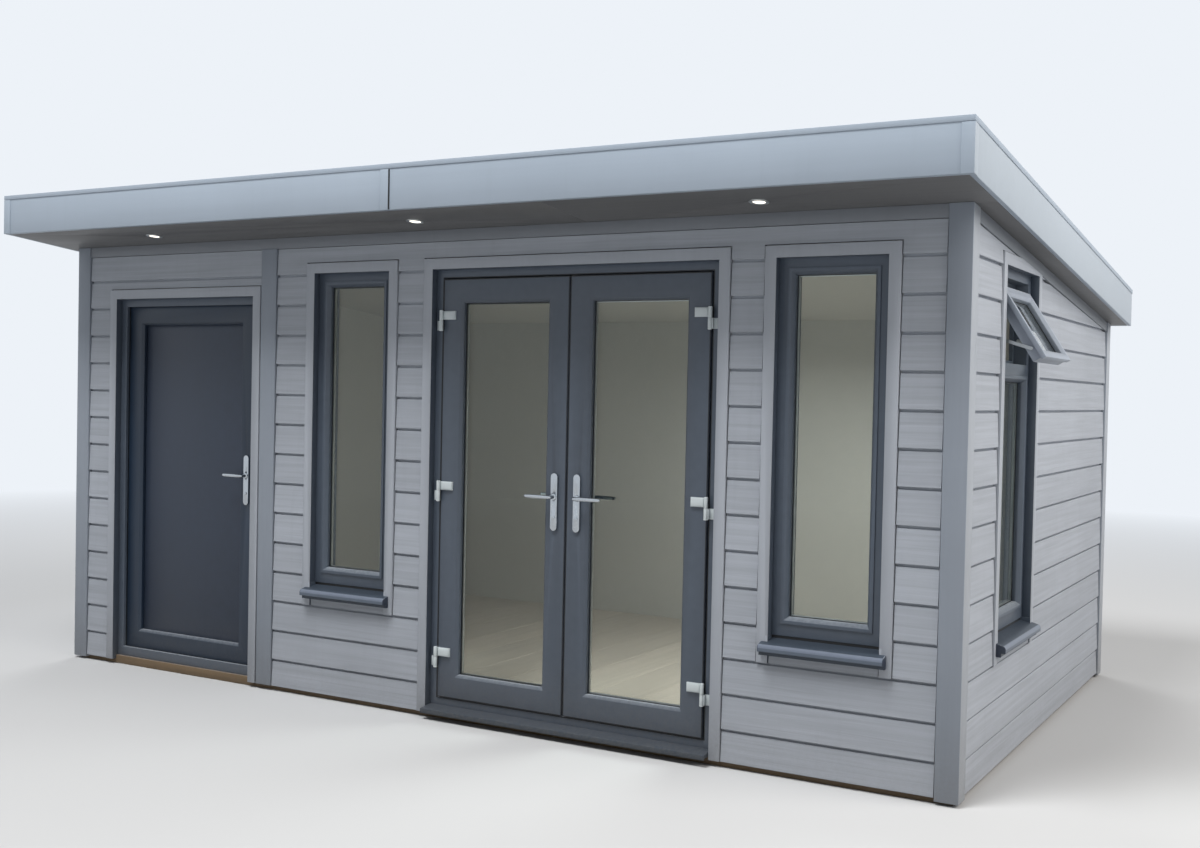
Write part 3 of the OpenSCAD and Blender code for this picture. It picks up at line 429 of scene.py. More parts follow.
def cut(obj, low, high):
    """Cut a box-shaped hole out of obj."""
    cutter = block("cutter", low, high)
    apply_modifier(obj, "BOOLEAN", operation="DIFFERENCE", solver="EXACT", object=cutter)
    bpy.data.objects.remove(cutter)


def cleaned(obj, distance=MERGE):
    """Merge vertices that lie double, and turn every face outwards."""
    whole(obj)
    bpy.ops.mesh.remove_doubles(threshold=distance)
    bpy.ops.mesh.normals_make_consistent(inside=False)
    leave()
    return obj


print("each helper leaves its object in object mode")

# %% [markdown]
# A finished piece is often joined from parts, or copied with a mesh of its own. It is then handed over: it gets its
# finish, it rides on the body that moves it, and it may take the place of plain solids.

# %% Helpers for joining, copying and handing over
def joined(name, objects):
    only(*objects)
    if len(objects) > 1:
        bpy.ops.object.join()
    o = bpy.context.object
    o.name = o.data.name = name
    return o


def copy_of(obj, name, move=None):
    o = bpy.data.objects.new(name, obj.data.copy())
    bpy.context.scene.collection.objects.link(o)
    if move is not None:
        o.data.transform(move)
    return o


def smooth(obj, angle=35):
    only(obj)
    bpy.ops.object.shade_smooth_by_angle(angle=math.radians(angle))
    return obj


def hand_over(obj, material, body="building", replaces=()):
    if material is not None:
        obj.data.materials.clear()
        obj.data.materials.append(material)
    only(obj)
    bpy.ops.object.transform_apply(location=True, rotation=True, scale=True)
    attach(obj, body)
    for node in replaces:
        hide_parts(node)
    print(f"{obj.name}: {len(obj.data.polygons)} faces on {body}")
    return obj


print("bodies that pieces can ride on:", sorted(set(body_of.values())))

# %% [markdown]
# ## Eased edges on trim, frames and roof
# The solids have perfectly sharp edges, which no timber or extrusion has: real arrises are sanded or rounded by a
# millimetre or two, and that narrow round is what catches the light. A copy of each solid has its loose triangles
# merged, its flat faces made whole again, and then a bevel on every edge that turns by more than 30 degrees.

# %% Ease the edges of the plain solids
def eased(node, width, material, slot, segments=2):
    """Dress a node's solid with a bevel of a width in millimetres."""
    o = copy_of(nodes[node], node + "_eased")
    whole(o)
    bpy.ops.mesh.remove_doubles(threshold=MERGE)
    bpy.ops.mesh.dissolve_limited(angle_limit=math.radians(0.8))
    leave()
    smooth(bevelled(o, width / 1000, segments, 30))
    return hand_over(o, material, body_of[node], [node])


# The frieze and soffit get darker finishes, painted shade under the eaves; the vent sash gets a pale one, a painted
# reflection of the sky.
for job in (
        ("corner_boards", 2.0, corner_paint, "trim"), ("divider_board", 2.0, corner_paint, "trim"),
        ("frieze_boards", 1.5, trim_level_shaded, "trim"), ("store_door_frame", 1.2, frame_foil, "anthracite"),
        ("french_door_frame", 1.2, frame_foil, "anthracite"), ("front_window_frames", 1.2, frame_foil, "anthracite"),
        ("side_window_frame", 1.2, frame_foil, "anthracite"), ("vent_sash", 1.2, vent_foil_sky_lit, "anthracite"),
        ("french_left_leaf", 1.2, leaf_foil, "anthracite"), ("french_right_leaf", 1.2, leaf_foil, "anthracite"),
        ("store_door_leaf", 1.2, store_foil, "anthracite"), ("store_door_panel", 1.0, panel_foil, "anthracite"),
        ("door_sill", 2.0, sill_foil, "anthracite", 3), ("fascia_boards", 2.0, fascia_paint, "fascia"),
        ("fascia_covers", 0.8, fascia_paint, "fascia"), ("roof_edge_trim", 0.9, fascia_paint, "fascia"),
        ("soffit_boards", 1.0, soffit_shaded, "trim"), ("base_frame", 2.0, timber, "timber_frame"),
        ("rear_gutter", 0.8, gutter_plastic, "rainwater"), ("downpipe", 0.8, gutter_plastic, "rainwater"),
        ("vent_stays", 0.5, spacer_metal, "hinge_metal", 1)):
    eased(*job)

# %% [markdown]
# ## Where the openings are
# Several cells below need to know where the doors and windows sit, so these sizes are written once: the planes of the
# front and of the ends, the middle and width of each opening, the heights of heads and sills, and how far a frame
# reaches behind its surround. The roof's underside falls to the rear, a tenth of the depth.

# %% Places and sizes of the openings
FRONT_Y, END_X, EAVES, FALL = -1.5, 2.5, 2.300, 0.1
STORE, FRENCH = (-1.680, 1.015), (0.710, 1.480)
FRONT_WINDOWS, SIDE_WINDOW = ((-0.525, 0.47), (1.940, 0.47)), (-0.650, 0.60)
STORE_HEAD, HEAD, SILL_Z, COVER = 2.010, 2.115, 0.575, 0.010
STORE_FACE, FRENCH_FACE, LEAF_THICK = -1.436, -1.468, 0.060
RIGHT_WALL = Matrix.Translation((END_X, 0, 0)) @ rotated(90, "Z")


def soffit_z(y):
    return EAVES - FALL * (y - FRONT_Y)


print("the roof's underside is", soffit_z(FRONT_Y), "m high at the front and", soffit_z(-FRONT_Y), "at the rear")

# %% [markdown]
# ## Surrounds with dark returns
# The flat boards round an opening are light grey, but the return that runs back from them to the frame is wrapped in
# the same dark foil as the frame. It is one piece with two finishes: the faces that lie inside an opening, behind the
# front, get the second one. The end faces of the corner boards and fascia are painted paler than their fronts, as
# painted light on the ends of the pod, and they get a second finish in the same way.

# %% Two finishes on the surrounds
def repaint(obj, material, test):
    """Give the faces of obj that pass a test another material."""
    obj.data.materials.append(material)
    count = 0
    for face in obj.data.polygons:
        if test(face.center):
            face.material_index = len(obj.data.materials) - 1
            count += 1
    print(obj.name, "has", count, "faces in", material.name)


def in_reveal(c):
    behind, slack = 0.0015, 0.0005
    for (middle, width), top in ((STORE, STORE_HEAD), *((opening, HEAD) for opening in (FRENCH, *FRONT_WINDOWS))):
        if c.y > FRONT_Y + behind and abs(c.x - middle) < width / 2 + slack and c.z < top + slack:
            return True
    middle, width = SIDE_WINDOW
    return 2.0 < c.x < END_X - behind and abs(c.y - middle) < width / 2 + slack and c.z < HEAD + slack


repaint(eased("opening_surrounds", 1.5, trim_upright, "trim"), frame_foil, in_reveal)
# The end faces get the paler copies: painted light.
for name, paint, past in (("corner_boards", corner_lit_ends, -0.0002), ("fascia_boards", fascia_lit_ends, 0.0998),
                          ("fascia_covers", fascia_lit_ends, 0.1025)):
    repaint(bpy.data.objects[name + "_eased"], paint, lambda c: abs(c.x) > END_X + past)

# %% [markdown]
# ## Lapped boards
# Each wall is clad with boards that lap over one another. A board shows a face that leans out slightly towards its
# lower edge, and a narrow groove stays open between it and the board above, which reads as a crisp dark line. One
# board is modelled: a thin block, cut level three times near its top, whose front vertices are then pulled back to
# form the shoulder and the groove. All others are copies, stretched to their course.

# %% Model one board
FACE, SHOULDER, GROOVE, REBATE, BOARD_TOP = 0.022, 0.0140, 0.0055, 0.001, 0.1498
DEPTHS = {0.0: 0.0205, 0.002: FACE, 0.1366: 0.0158, 0.1390: SHOULDER, 0.1400: GROOVE, BOARD_TOP: GROOVE}
board = block("board", (0, -FACE, 0), (1, -REBATE, BOARD_TOP))
for level in list(DEPTHS)[1:-1]:
    whole(board)
    bpy.ops.mesh.bisect(plane_co=(0, 0, level), plane_no=(0, 0, 1))
    leave()
for level, depth in DEPTHS.items():
    choose(board, "verts", lambda v: abs(v.co.z - level) < 1e-5 and v.co.y < -0.01)
    bpy.ops.transform.translate(value=(0, FACE - depth, 0))
    leave()
print("one board has", len(board.data.polygons), "faces")

# %% [markdown]
# ## Lay the courses
# The boards of a wall are laid in the plane of the front first: course above course, each with its own place in the
# grain pattern and its own slight tone, both written on the mesh. The wall is then cut round the openings with a
# few millimetres to spare, which gives the dark upright gaps beside the trim, and turned to its side of the pod.

# %% A wall of boards
CORE_X, CORE_Y, COURSE, FIRST, START = 2.472, 1.472, 0.150, 0.138, 0.025
rng = random.Random(7)


def in_grain(obj, unroll, tone):
    """Give a board its own place in the grain pattern and its own tone."""
    uv = obj.data.uv_layers.active or obj.data.uv_layers.new()
    uv.name = "board"
    for loop in obj.data.loops:
        uv.data[loop.index].uv = unroll(obj.data.vertices[loop.vertex_index].co)
    obj.data.attributes.new("tone", "FLOAT", "FACE").data.foreach_set("value", [tone] * len(obj.data.polygons))
    return obj


def lay_wall(name, half, top, openings):
    boards, z = [], START
    while z < top:
        high = FIRST if z == START else COURSE
        o = copy_of(board, "course")
        shift, rise, tone = rng.uniform(0, 50), rng.uniform(0, 50), rng.uniform(0.955, 1.045)
        for v in o.data.vertices:
            v.co.x = half if v.co.x > 0.5 else -half
            if high != COURSE and v.co.z > 0.01:
                v.co.z -= COURSE - high
            v.co.z += z
        boards.append(in_grain(o, lambda co: (co.x + shift, co.z - z + rise - co.y), tone))
        z += high
    wall = joined(name, boards)
    for x0, z0, x1, z1 in openings:
        cut(wall, (x0, -0.05, z0), (x1, 0.05, z1))
    return wall


GAP, LEG, TAIL, SILL_TOP, DIVIDER = 0.004, 0.05, 0.462, 0.530, (-1.1145, -1.0145)
HALF_WIDE, HALF_DEEP = 2.405 - GAP, 1.405 - GAP


def around_window(middle, width):
    """The hole for a window, and one below it for each leg of its surround."""
    half = width / 2 + LEG + GAP
    return [(middle - half, SILL_TOP - GAP, middle + half, HEAD + LEG + GAP),
            (middle - half, TAIL - GAP, middle - half + LEG + 2 * GAP, SILL_TOP),
            (middle + half - LEG - 2 * GAP, TAIL - GAP, middle + half, SILL_TOP)]


print("the end window takes", around_window(*SIDE_WINDOW))

# %% [markdown]
# The front wall is cut round both doors, the two windows and the divider board, and ends level under the frieze.

# %% Clad the front
def trim_top(wall, point, normal):
    whole(wall)
    bpy.ops.mesh.bisect(plane_co=point, plane_no=normal, clear_outer=True, use_fill=True)
    leave()
    return wall


store_edge, (french, french_width) = STORE[0] - STORE[1] / 2 - LEG - GAP, FRENCH
french_half = french_width / 2 + LEG + GAP
front_holes = [(store_edge, 0, DIVIDER[1] + GAP, STORE_HEAD + LEG + GAP),
               (DIVIDER[0] - GAP, 1.9, DIVIDER[1] + GAP, 2.4),
               (french - french_half, 0, french + french_half, HEAD + LEG + GAP)]
for window in FRONT_WINDOWS:
    front_holes += around_window(*window)
front = lay_wall("front_boards", HALF_WIDE, 2.25, front_holes)
front.data.transform(Matrix.Translation((0, -CORE_Y, 0)))
trim_top(front, (0, 0, 2.2425), (0, 0, 1))
hand_over(smooth(front, 20), board_paint, replaces=["front_cladding"])

# %% [markdown]
# The side walls are cut along the fall of the roof, and so is the rear wall, which is level because it runs across it.

# %% Sides and rear
def trim_to_roof(wall, y):
    return trim_top(wall, (0, y, soffit_z(y) - 0.057), (0, FALL, 1))


right = lay_wall("right_boards", HALF_DEEP, 2.25, around_window(*SIDE_WINDOW))
right.data.transform(Matrix.Translation((CORE_X, 0, 0)) @ rotated(90, "Z"))
left = lay_wall("left_boards", HALF_DEEP, 2.25, [])
left.data.transform(Matrix.Translation((-CORE_X, 0, 0)) @ rotated(-90, "Z"))
sides = trim_to_roof(joined("side_boards", [right, left]), 0)
hand_over(smooth(sides, 20), board_paint, replaces=["side_cladding"])
rear = lay_wall("rear_boards", HALF_WIDE, 1.96, [])
rear.data.transform(Matrix.Translation((0, CORE_Y, 0)) @ rotated(180, "Z"))
hand_over(smooth(trim_to_roof(rear, CORE_Y), 20), board_paint, replaces=["rear_cladding"])
bpy.data.objects.remove(board)

# %% [markdown]
# ## Sealed glass units
# A window pane is two sheets of glass held apart by a thin metal spacer, with a black gasket where the glass meets
# the frame. Seen at an angle, the spacer is the fine light line along the edge of the glass. Each unit is built
# flat in the plane of the front: two thin sheets, a ring of spacer between them and a ring of gasket outside.

# %% Model a sealed unit
def ring(name, low, high, width):
    """A frame of square section between two corners, made from one block: its two broad faces are inset, and the
    faces left in the middle are bridged through."""
    o = block(name, low, high)
    choose(o, "faces", lambda f: abs(f.normal.y) > 0.9)
    bpy.ops.mesh.inset(thickness=width, use_even_offset=True)
    bpy.ops.mesh.bridge_edge_loops()
    leave()
    return o


def sealed_unit(low, high):
    """The glass, the spacer and the gaskets of one unit that fills a box, thickness along y."""
    (x0, y0, z0), (x1, y1, z1) = low, high
    sheet, bar, grip, touch, lap = 0.004, 0.014, 0.0065, 0.0002, 0.002
    sheets = [block("sheet", (x0, a, z0), (x1, a + sheet, z1), 0.0004, 1) for a in (y0, y1 - sheet)]
    spacer = ring("spacer", (x0 + lap, y0 + sheet, z0 + lap), (x1 - lap, y1 - sheet, z1 - lap), bar)
    gaskets = [ring("gasket", (x0 + 0.006, a, z0 + 0.006), (x1 - 0.006, b, z1 - 0.006), grip)
               for a, b in ((y0 - lap, y0 - touch), (y1 + touch, y1 + lap))]
    return sheets, [spacer], gaskets


def fit_units(name, node, boxes, moves):
    """Make one unit for each box, move it to its place, and hand over glass, spacers and gaskets as three pieces."""
    sheets, spacers, gaskets = [], [], []
    for (low, high), move in zip(boxes, moves):
        for found, kept in zip(sealed_unit(low, high), (sheets, spacers, gaskets)):
            for o in found:
                if move is not None:
                    o.data.transform(move)
                kept.append(o)
    body = body_of[node]
    hand_over(joined(name + "_sheets", sheets), glass, body, [node])
    hand_over(joined(name + "_spacers", spacers), spacer_metal, body)
    hand_over(joined(name + "_gaskets", gaskets), rubber, body)


for side in ("left", "right"):
    node = f"french_{side}_glass"
    fit_units(node, node, [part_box(node)], [None])

# %% [markdown]
# The side window and its open vent are the same units, turned to the right wall, and the vent's is tilted with it.

# %% Glaze the windows
INSET, DEPTH, THICK, TRANSOM, VENT_FACE = 0.068, 0.072, 0.020, 1.715, 0.032
VENT_W, VENT_H, VENT_TOP, RAIL, VENT_OPEN = 0.508, 0.348, 2.034, 0.032, 32


def light_box(window, top, face):
    middle, half = window[0], window[1] / 2 + COVER - INSET
    return ((middle - half, face + DEPTH, SILL_Z + INSET), (middle + half, face + DEPTH + THICK, top - INSET))


vent_frame = (RIGHT_WALL @ Matrix.Translation((SIDE_WINDOW[0] - VENT_W / 2, VENT_FACE, VENT_TOP))
              @ rotated(-VENT_OPEN, "X") @ Matrix.Translation((0, 0, -VENT_H)))
boxes = [light_box(window, HEAD + COVER, FRONT_Y) for window in FRONT_WINDOWS]
boxes += [light_box(SIDE_WINDOW, TRANSOM, 0.0),
          ((RAIL, VENT_FACE, RAIL), (VENT_W - RAIL, VENT_FACE + THICK, VENT_H - RAIL))]
fit_units("window_glass", "window_glass", boxes, [None, None, RIGHT_WALL, vent_frame])
repaint(bpy.data.objects["window_glass_sheets"], vent_glass, lambda c: c.x > 2.44)

# %% [markdown]
# ## Window sills
# A sill is one moulding. Its top falls slightly from the frame to a rounded shoulder, below that comes an upright nose,
# and behind the nose a drip throws the rain clear of the boards. The whole section is drawn: a filled ring with a point
# for each corner, each put in its place, is extruded along the window. Past the frame the sill keeps only its front, as
# two horns, and a moulded cap closes each end. A small foot carries each leg of the surround down to the sill. The one
# foil of the sill is painted in bands of light: the shoulder and upper nose get a paler foil as a painted highlight,
# and the lower nose a lighter tone than the top. Under the frame the back of the gap is black rubber, which stands in
# for the shade in the gap and is seen as a black line.

# %% Model the sills
HORN, FOOT, GAP_BACK, END_CAP = 0.026, 0.010, 0.044, 0.003
SILL = [(0.116, 0.0), (0.116, -0.045), (0.0045, -0.045), (0.0045, -0.077), (-0.020, -0.077), (-0.022, -0.075),
        (-0.022, -0.061), (-0.0375, -0.061), (-0.040, -0.0585), (-0.040, -0.046), (-0.0388, -0.0395), (-0.0355, -0.034),
        (-0.030, -0.0305), (GAP_BACK, -0.012), (GAP_BACK, 0.0)]


def drawn_out(name, section, x0, x1):
    """A moulding from x0 to x1 whose section is a list of (depth, height) corners."""
    bpy.ops.object.select_all(action="DESELECT")
    bpy.ops.mesh.primitive_circle_add(vertices=len(section), radius=0.05, fill_type="NGON")
    o = bpy.context.object
    o.name = o.data.name = name
    for v, (y, z) in zip(o.data.vertices, section):
        v.co = (x0, y, z)
    whole(o)
    bpy.ops.mesh.extrude_region_move(TRANSFORM_OT_translate={"value": (x1 - x0, 0, 0)})
    bpy.ops.mesh.select_all(action="SELECT")
    bpy.ops.mesh.normals_make_consistent(inside=False)
    leave()
    return o


print("the section of a sill has", len(SILL), "corners")

# %% Cut the sills to length and close their ends
def span(middle, side, near, far):
    """Two places on one side of a middle, the lower one first."""
    return sorted((middle + side * near, middle + side * far))


sills, caps = [], []
CAP_SECTION = [(-0.0004, -0.0780)] + [(y, 0.001 + z * 1.03) for y, z in SILL if y < 0] + [(-0.0004, -0.0225)]
on_front = Matrix.Translation((0, FRONT_Y, SILL_Z))
on_right = RIGHT_WALL @ Matrix.Translation((0, 0, SILL_Z))
for (middle, width), move in zip((*FRONT_WINDOWS, SIDE_WINDOW), (on_front, on_front, on_right)):
    half = width / 2
    sill = drawn_out("sill", SILL, middle - half - HORN, middle + half + HORN)
    for side in (-1, 1):
        x0, x1 = span(middle, side, half - 0.0003, half + 0.1)
        cut(sill, (x0, -0.0004, -0.2), (x1, 0.2, 0.1))
        end_cap = drawn_out("cap", CAP_SECTION, *span(middle, side, half + HORN, half + HORN + END_CAP))
        bevelled(end_cap, 0.0008, 2, 50)
        x0, x1 = span(middle, side, half, half + FOOT)
        foot = block("foot", (x0, 0.0, -0.045), (x1, GAP_BACK, 0.0), 0.0006, 1)
        foot.data.materials.append(frame_foil)
        repaint(foot, trim_upright, lambda c: c.y < 0.001)
        for part, kept in ((end_cap, caps), (foot, sills)):
            part.data.transform(move)
            kept.append(part)
    sill.data.materials.clear()
    sill.data.materials.append(sill_foil)
    # Painted light: a paler highlight on the shoulder and upper nose, and a lighter tone on the lower nose.
    repaint(sill, sill_painted_highlight, lambda c: c.y < -0.0300 and -0.046 < c.z)
    repaint(sill, frame_foil, lambda c: c.y < -0.0380 and c.z <= -0.046)
    # The back of the gap under the frame is black rubber: a dark face that stands in for the shade in the gap.
    repaint(sill, rubber, lambda c: abs(c.y - GAP_BACK) < 0.0002)
    sill.data.transform(move)
    sills.append(sill)
hand_over(smooth(joined("window_sill_mouldings", sills), 28), None, replaces=["window_sills"])
hand_over(smooth(joined("window_sill_caps", caps)), panel_foil)

# %% [markdown]
# ## Seals round the doors
# A black rubber lip runs round every leaf, and round the frame that the French doors close on, so the joint between
# them is seen as one clear dark line. Each lip is a thin ring with rounded edges, pressed into the face close to the
# joint.

# %% Fit the door seals
LIP = 0.0038


def lip(name, low, high):
    return smooth(bevelled(ring(name, low, high, LIP), 0.0005, 2, 40))


for leaf, face, inset in (("french_left", FRENCH_FACE, 0.0004), ("french_right", FRENCH_FACE, 0.0004),
                          ("store_door", STORE_FACE, 0.0084)):
    low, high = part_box(leaf + "_leaf")
    seal = lip(leaf + "_seal", (low.x + inset, face - 0.0007, low.z + inset),
               (high.x - inset, face + 0.0015, high.z - inset))
    hand_over(seal, rubber, leaf)
frame_seal = lip("french_frame_seal", (0.010 - LIP, -1.4607, 0.0930), (1.410 + LIP, -1.4585, 2.075 + LIP))
hand_over(frame_seal, rubber)

# %% [markdown]
# ## The joint in the fascia
# The front fascia is two lengths of board that meet in the middle under a thin cover. A bead of dark sealant closes
# the cover's open side, and it is what is seen of the joint from a distance.

# %% Lay the sealant bead
cover_edge, bead_wide, bead_thick, fascia_face = 0.0226, 0.007, 0.0028, -1.9
bead = block("fascia_sealant", (cover_edge, fascia_face - bead_thick, 2.342),
             (cover_edge + bead_wide, fascia_face, 2.5185), 0.001)
hand_over(smooth(bead), rubber)

# %% [markdown]
# ## Hinges
# The door hinges are flag hinges: a pale flag screwed to the leaf, a knuckle that turns on a pin, and a lower half
# fixed to the frame. The eased solids give the flags and knuckles. Domed caps close the knuckles at both ends, and
# each flag has a raised cover plate that hides its screws.

# %% Caps and cover plates for the hinges
def cap(where, up):
    bpy.ops.object.select_all(action="DESELECT")
    bpy.ops.mesh.primitive_cylinder_add(vertices=20, radius=0.0095, depth=0.004, location=where)
    o = bpy.context.object
    bpy.ops.object.transform_apply(location=True, rotation=False, scale=False)
    choose(o, "faces", lambda f: f.normal.z * up > 0.9)
    bpy.ops.mesh.inset(thickness=0.003)
    bpy.ops.transform.translate(value=(0, 0, up * 0.002))
    leave()
    return o


HINGES, KNUCKLE = (0.290, 1.075, 1.875), 0.045
hinge_sets = {"french_left": (0.014, -1.483, 1, 1), "french_right": (1.406, -1.483, -1, 1),
              "store_door": (-2.1615, -1.361, 1, -1)}
eased("frame_hinges", 1.2, hinge_satin, "hinge_metal")
lower_caps = []
for leaf, (ax, ay, side, face) in hinge_sets.items():
    repaint(eased(leaf + "_hardware", 1.2, chrome, "handle_metal"), hinge_satin, lambda c: abs(c.x - ax) < 0.1)
    dressing = []
    for z in HINGES:
        lower_caps.append(cap((ax, ay, z - KNUCKLE), -1))
        dressing.append(cap((ax, ay, z + KNUCKLE), 1))
        (x0, x1), (y0, y1) = span(ax, side, 0.014, 0.071), span(ay, face, 0.003, 0.007)
        dressing.append(block("cover", (x0, y0, z + 0.008), (x1, y1, z + 0.042), 0.002, 3))
    hand_over(smooth(joined(leaf + "_hinge_covers", dressing)), hinge_satin, leaf)
hand_over(smooth(joined("hinge_foot_caps", lower_caps)), hinge_satin)

# %% [markdown]
# ## Lever handles
# A lever is one round bar: it comes straight out of a rose on the plate, bends through a quarter turn, and runs
# along the door to a rounded end that curls back a little. That is how it is modelled too. A disc is extruded out
# to form the neck, spun through ninety degrees for the bend and extruded again, a little flatter and slimmer.

# %% Model one lever
BAR, NECK_FOOT, NECK, BEND = 0.0085, 0.009, 0.021, 0.018
bpy.ops.object.select_all(action="DESELECT")
bpy.ops.mesh.primitive_circle_add(vertices=24, radius=BAR, fill_type="NGON", location=(0, -NECK_FOOT, 0),
                                  rotation=(math.radians(90), 0, 0))
bpy.ops.object.transform_apply(location=True, rotation=True, scale=True)
lever = bpy.context.object
whole(lever)
bpy.ops.mesh.extrude_region_move(TRANSFORM_OT_translate={"value": (0, -NECK, 0)})
bpy.ops.mesh.spin(steps=7, angle=math.radians(90), center=(-BEND, -NECK_FOOT - NECK, 0), axis=(0, 0, 1))
leave()
print("the neck and bend are", [round(size, 4) for size in lever.dimensions], "m in size")

# %% Finish the lever and place it on every leaf
def grow(obj, steps):
    """Extrude the end face of the grip along -x, in steps of (length, back, width, thickness)."""
    for length, back, wide, thick in steps:
        end = min(v.co.x for v in obj.data.vertices)
        choose(obj, "faces", lambda f: f.normal.x < -0.9 and f.center.x < end + 0.0005)
        bpy.ops.mesh.extrude_region_move(TRANSFORM_OT_translate={"value": (-length, back, 0)})
        bpy.ops.transform.resize(value=(1, thick, wide))
        leave()


grow(lever, [(0.010, 0, 1.06, 0.9), (0.030, 0, 1.04, 0.92), (0.040, 0.0005, 0.96, 0.95), (0.022, 0.001, 0.95, 0.97),
             (0.010, 0.003, 0.93, 0.97), (0.006, 0.003, 0.9, 0.9), (0.002, 0.001, 0.6, 0.6)])
rose = cap((0, 0, 0), 1)
rose.data.transform(Matrix.Translation((0, -0.012, 0)) @ rotated(90, "X") @ Matrix.Diagonal((1.45, 1.45, 1.6, 1)))
lever = smooth(joined("lever", [cleaned(lever), rose]), 40)
LEVER_Z = 1.082
for leaf, x, y, hand in (("french_left", 0.651, FRENCH_FACE, 1), ("french_right", 0.769, FRENCH_FACE, -1),
                         ("store_door", -1.2565, STORE_FACE, 1)):
    halves = []
    for face in (0, 1):
        flip = Matrix.Diagonal((hand, 1 - 2 * face, 1, 1))
        half = copy_of(lever, "half", Matrix.Translation((x, y + face * LEAF_THICK, LEVER_Z)) @ flip)
        if flip.determinant() < 0:
            half.data.flip_normals()
        halves.append(half)
    hand_over(joined(leaf + "_lever_bars", halves), chrome, leaf + "_lever", [leaf + "_lever"])
bpy.data.objects.remove(lever)

# %% [markdown]
# ## Soffit lights
# Three small downlights sit flush in the soffit: a metal bezel with a soft lip and a frosted lens set back in it. A
# circle is widened and extruded ring by ring, like a shape on a lathe, from the lens edge out over the lip.

# %% Model the soffit lights
def lathe(name, rings):
    """A turned shape: a circle extruded through (radius, height) rings."""
    bpy.ops.object.select_all(action="DESELECT")
    radius, z = rings[0]
    bpy.ops.mesh.primitive_circle_add(vertices=40, radius=radius, location=(0, 0, z))
    o = bpy.context.object
    bpy.ops.object.transform_apply(location=True, rotation=True, scale=True)
    o.name = o.data.name = name
    whole(o)
    for wider, up in rings[1:]:
        bpy.ops.mesh.extrude_region_move(TRANSFORM_OT_translate={"value": (0, 0, up - z)})
        factor = wider / radius
        bpy.ops.transform.resize(value=(factor, factor, 1), center_override=(0, 0, up))
        radius, z = wider, up
    leave()
    return o


LIGHT_Y, LIGHTS_X = -1.676, (-1.7, 0.0, 1.7)
tilt = Matrix.Rotation(-math.atan(FALL), 4, "X")
bezel = lathe("bezel", [(0.026, -0.0005), (0.0275, -0.003), (0.031, -0.004), (0.037, -0.004), (0.0405, -0.003),
                        (0.042, -0.0012), (0.042, -0.0003)])
frost = lathe("frost", [(0.0268, -0.0012), (0.020, -0.0020), (0.010, -0.0026), (0.0004, -0.0028)])
for part, material, slot_name, old in ((bezel, spacer_metal, "hinge_metal", []),
                                       (frost, lens, "lamp", ["soffit_lights"])):
    cleaned(part, 0.0009)
    copies = [copy_of(part, part.name, Matrix.Translation((x, LIGHT_Y, soffit_z(LIGHT_Y))) @ tilt) for x in LIGHTS_X]
    made_part = smooth(joined("soffit_light_" + part.name + "s", copies), 50)
    sunk = min(made_part.data.polygons, key=lambda f: f.center.z)
    if sunk.normal.z > 0:
        made_part.data.flip_normals()
    hand_over(made_part, material, replaces=old)
    bpy.data.objects.remove(part)

# %% [markdown]
# ## Floor planks and the room
# Through the glass the room shows its floor, walls and ceiling. The floor is laid with planks that run across the
# pod, with a fine open joint between them. One plank is modelled and copied, each with its own grain and tone. The
# walls and the underside of the roof keep their solids, with a matt lining paint.

# %% Lay the floor
low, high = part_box("floor_deck")
COUNT, JOINT, UNDER, TREAD, REACH = 18, 0.0008, 0.0455, 0.075, 1.352
step = (high.x - low.x) / COUNT
planks = []
for i in range(COUNT):
    x = low.x + i * step
    o = block("plank", (x + JOINT, -REACH, UNDER), (x + step - JOINT, REACH, TREAD), 0.0015, 1)
    shift, tone = rng.uniform(0, 60), rng.uniform(0.93, 1.07)
    planks.append(in_grain(o, lambda co: (co.y + shift, co.x + shift + co.z), tone))
for x0, x1 in ((-2.1975, -1.1625), (-0.040, 1.460)):
    o = block("plank", (x0, -1.384, UNDER), (x1, -REACH - 0.0006, TREAD), 0.0015, 1)
    planks.append(in_grain(o, lambda co: (co.x, co.y + co.z), 0.97))
hand_over(joined("floor_planks", planks), floor_oak, replaces=["floor_deck"])
for name in ("front_left_wall", "store_head_wall", "front_middle_wall", "french_head_wall", "front_right_wall",
             "left_wall", "right_wall", "rear_wall", "roof_deck"):
    nodes[name].data.materials.clear()
    nodes[name].data.materials.append(lining_paint)

# %% [markdown]
# ## The roof sheet
# The roof is covered with a black sheet that comes in widths of about a metre. Each width laps over the next, and
# the welded lap stands up as a low flat ridge that runs down the fall of the roof. At the front and the sides the
# sheet turns up over a sloped fillet and climbs the kerb as far as the metal cap. That upstand is drawn as a section
# and extruded, like the sills.

# %% Lap seams and upstands on the roof sheet
def on_roof(obj, over):
    """Shear a level part so that it lies on the fall of the roof, at a height over its underside."""
    for v in obj.data.vertices:
        v.co.z += soffit_z(v.co.y) + over
    return obj


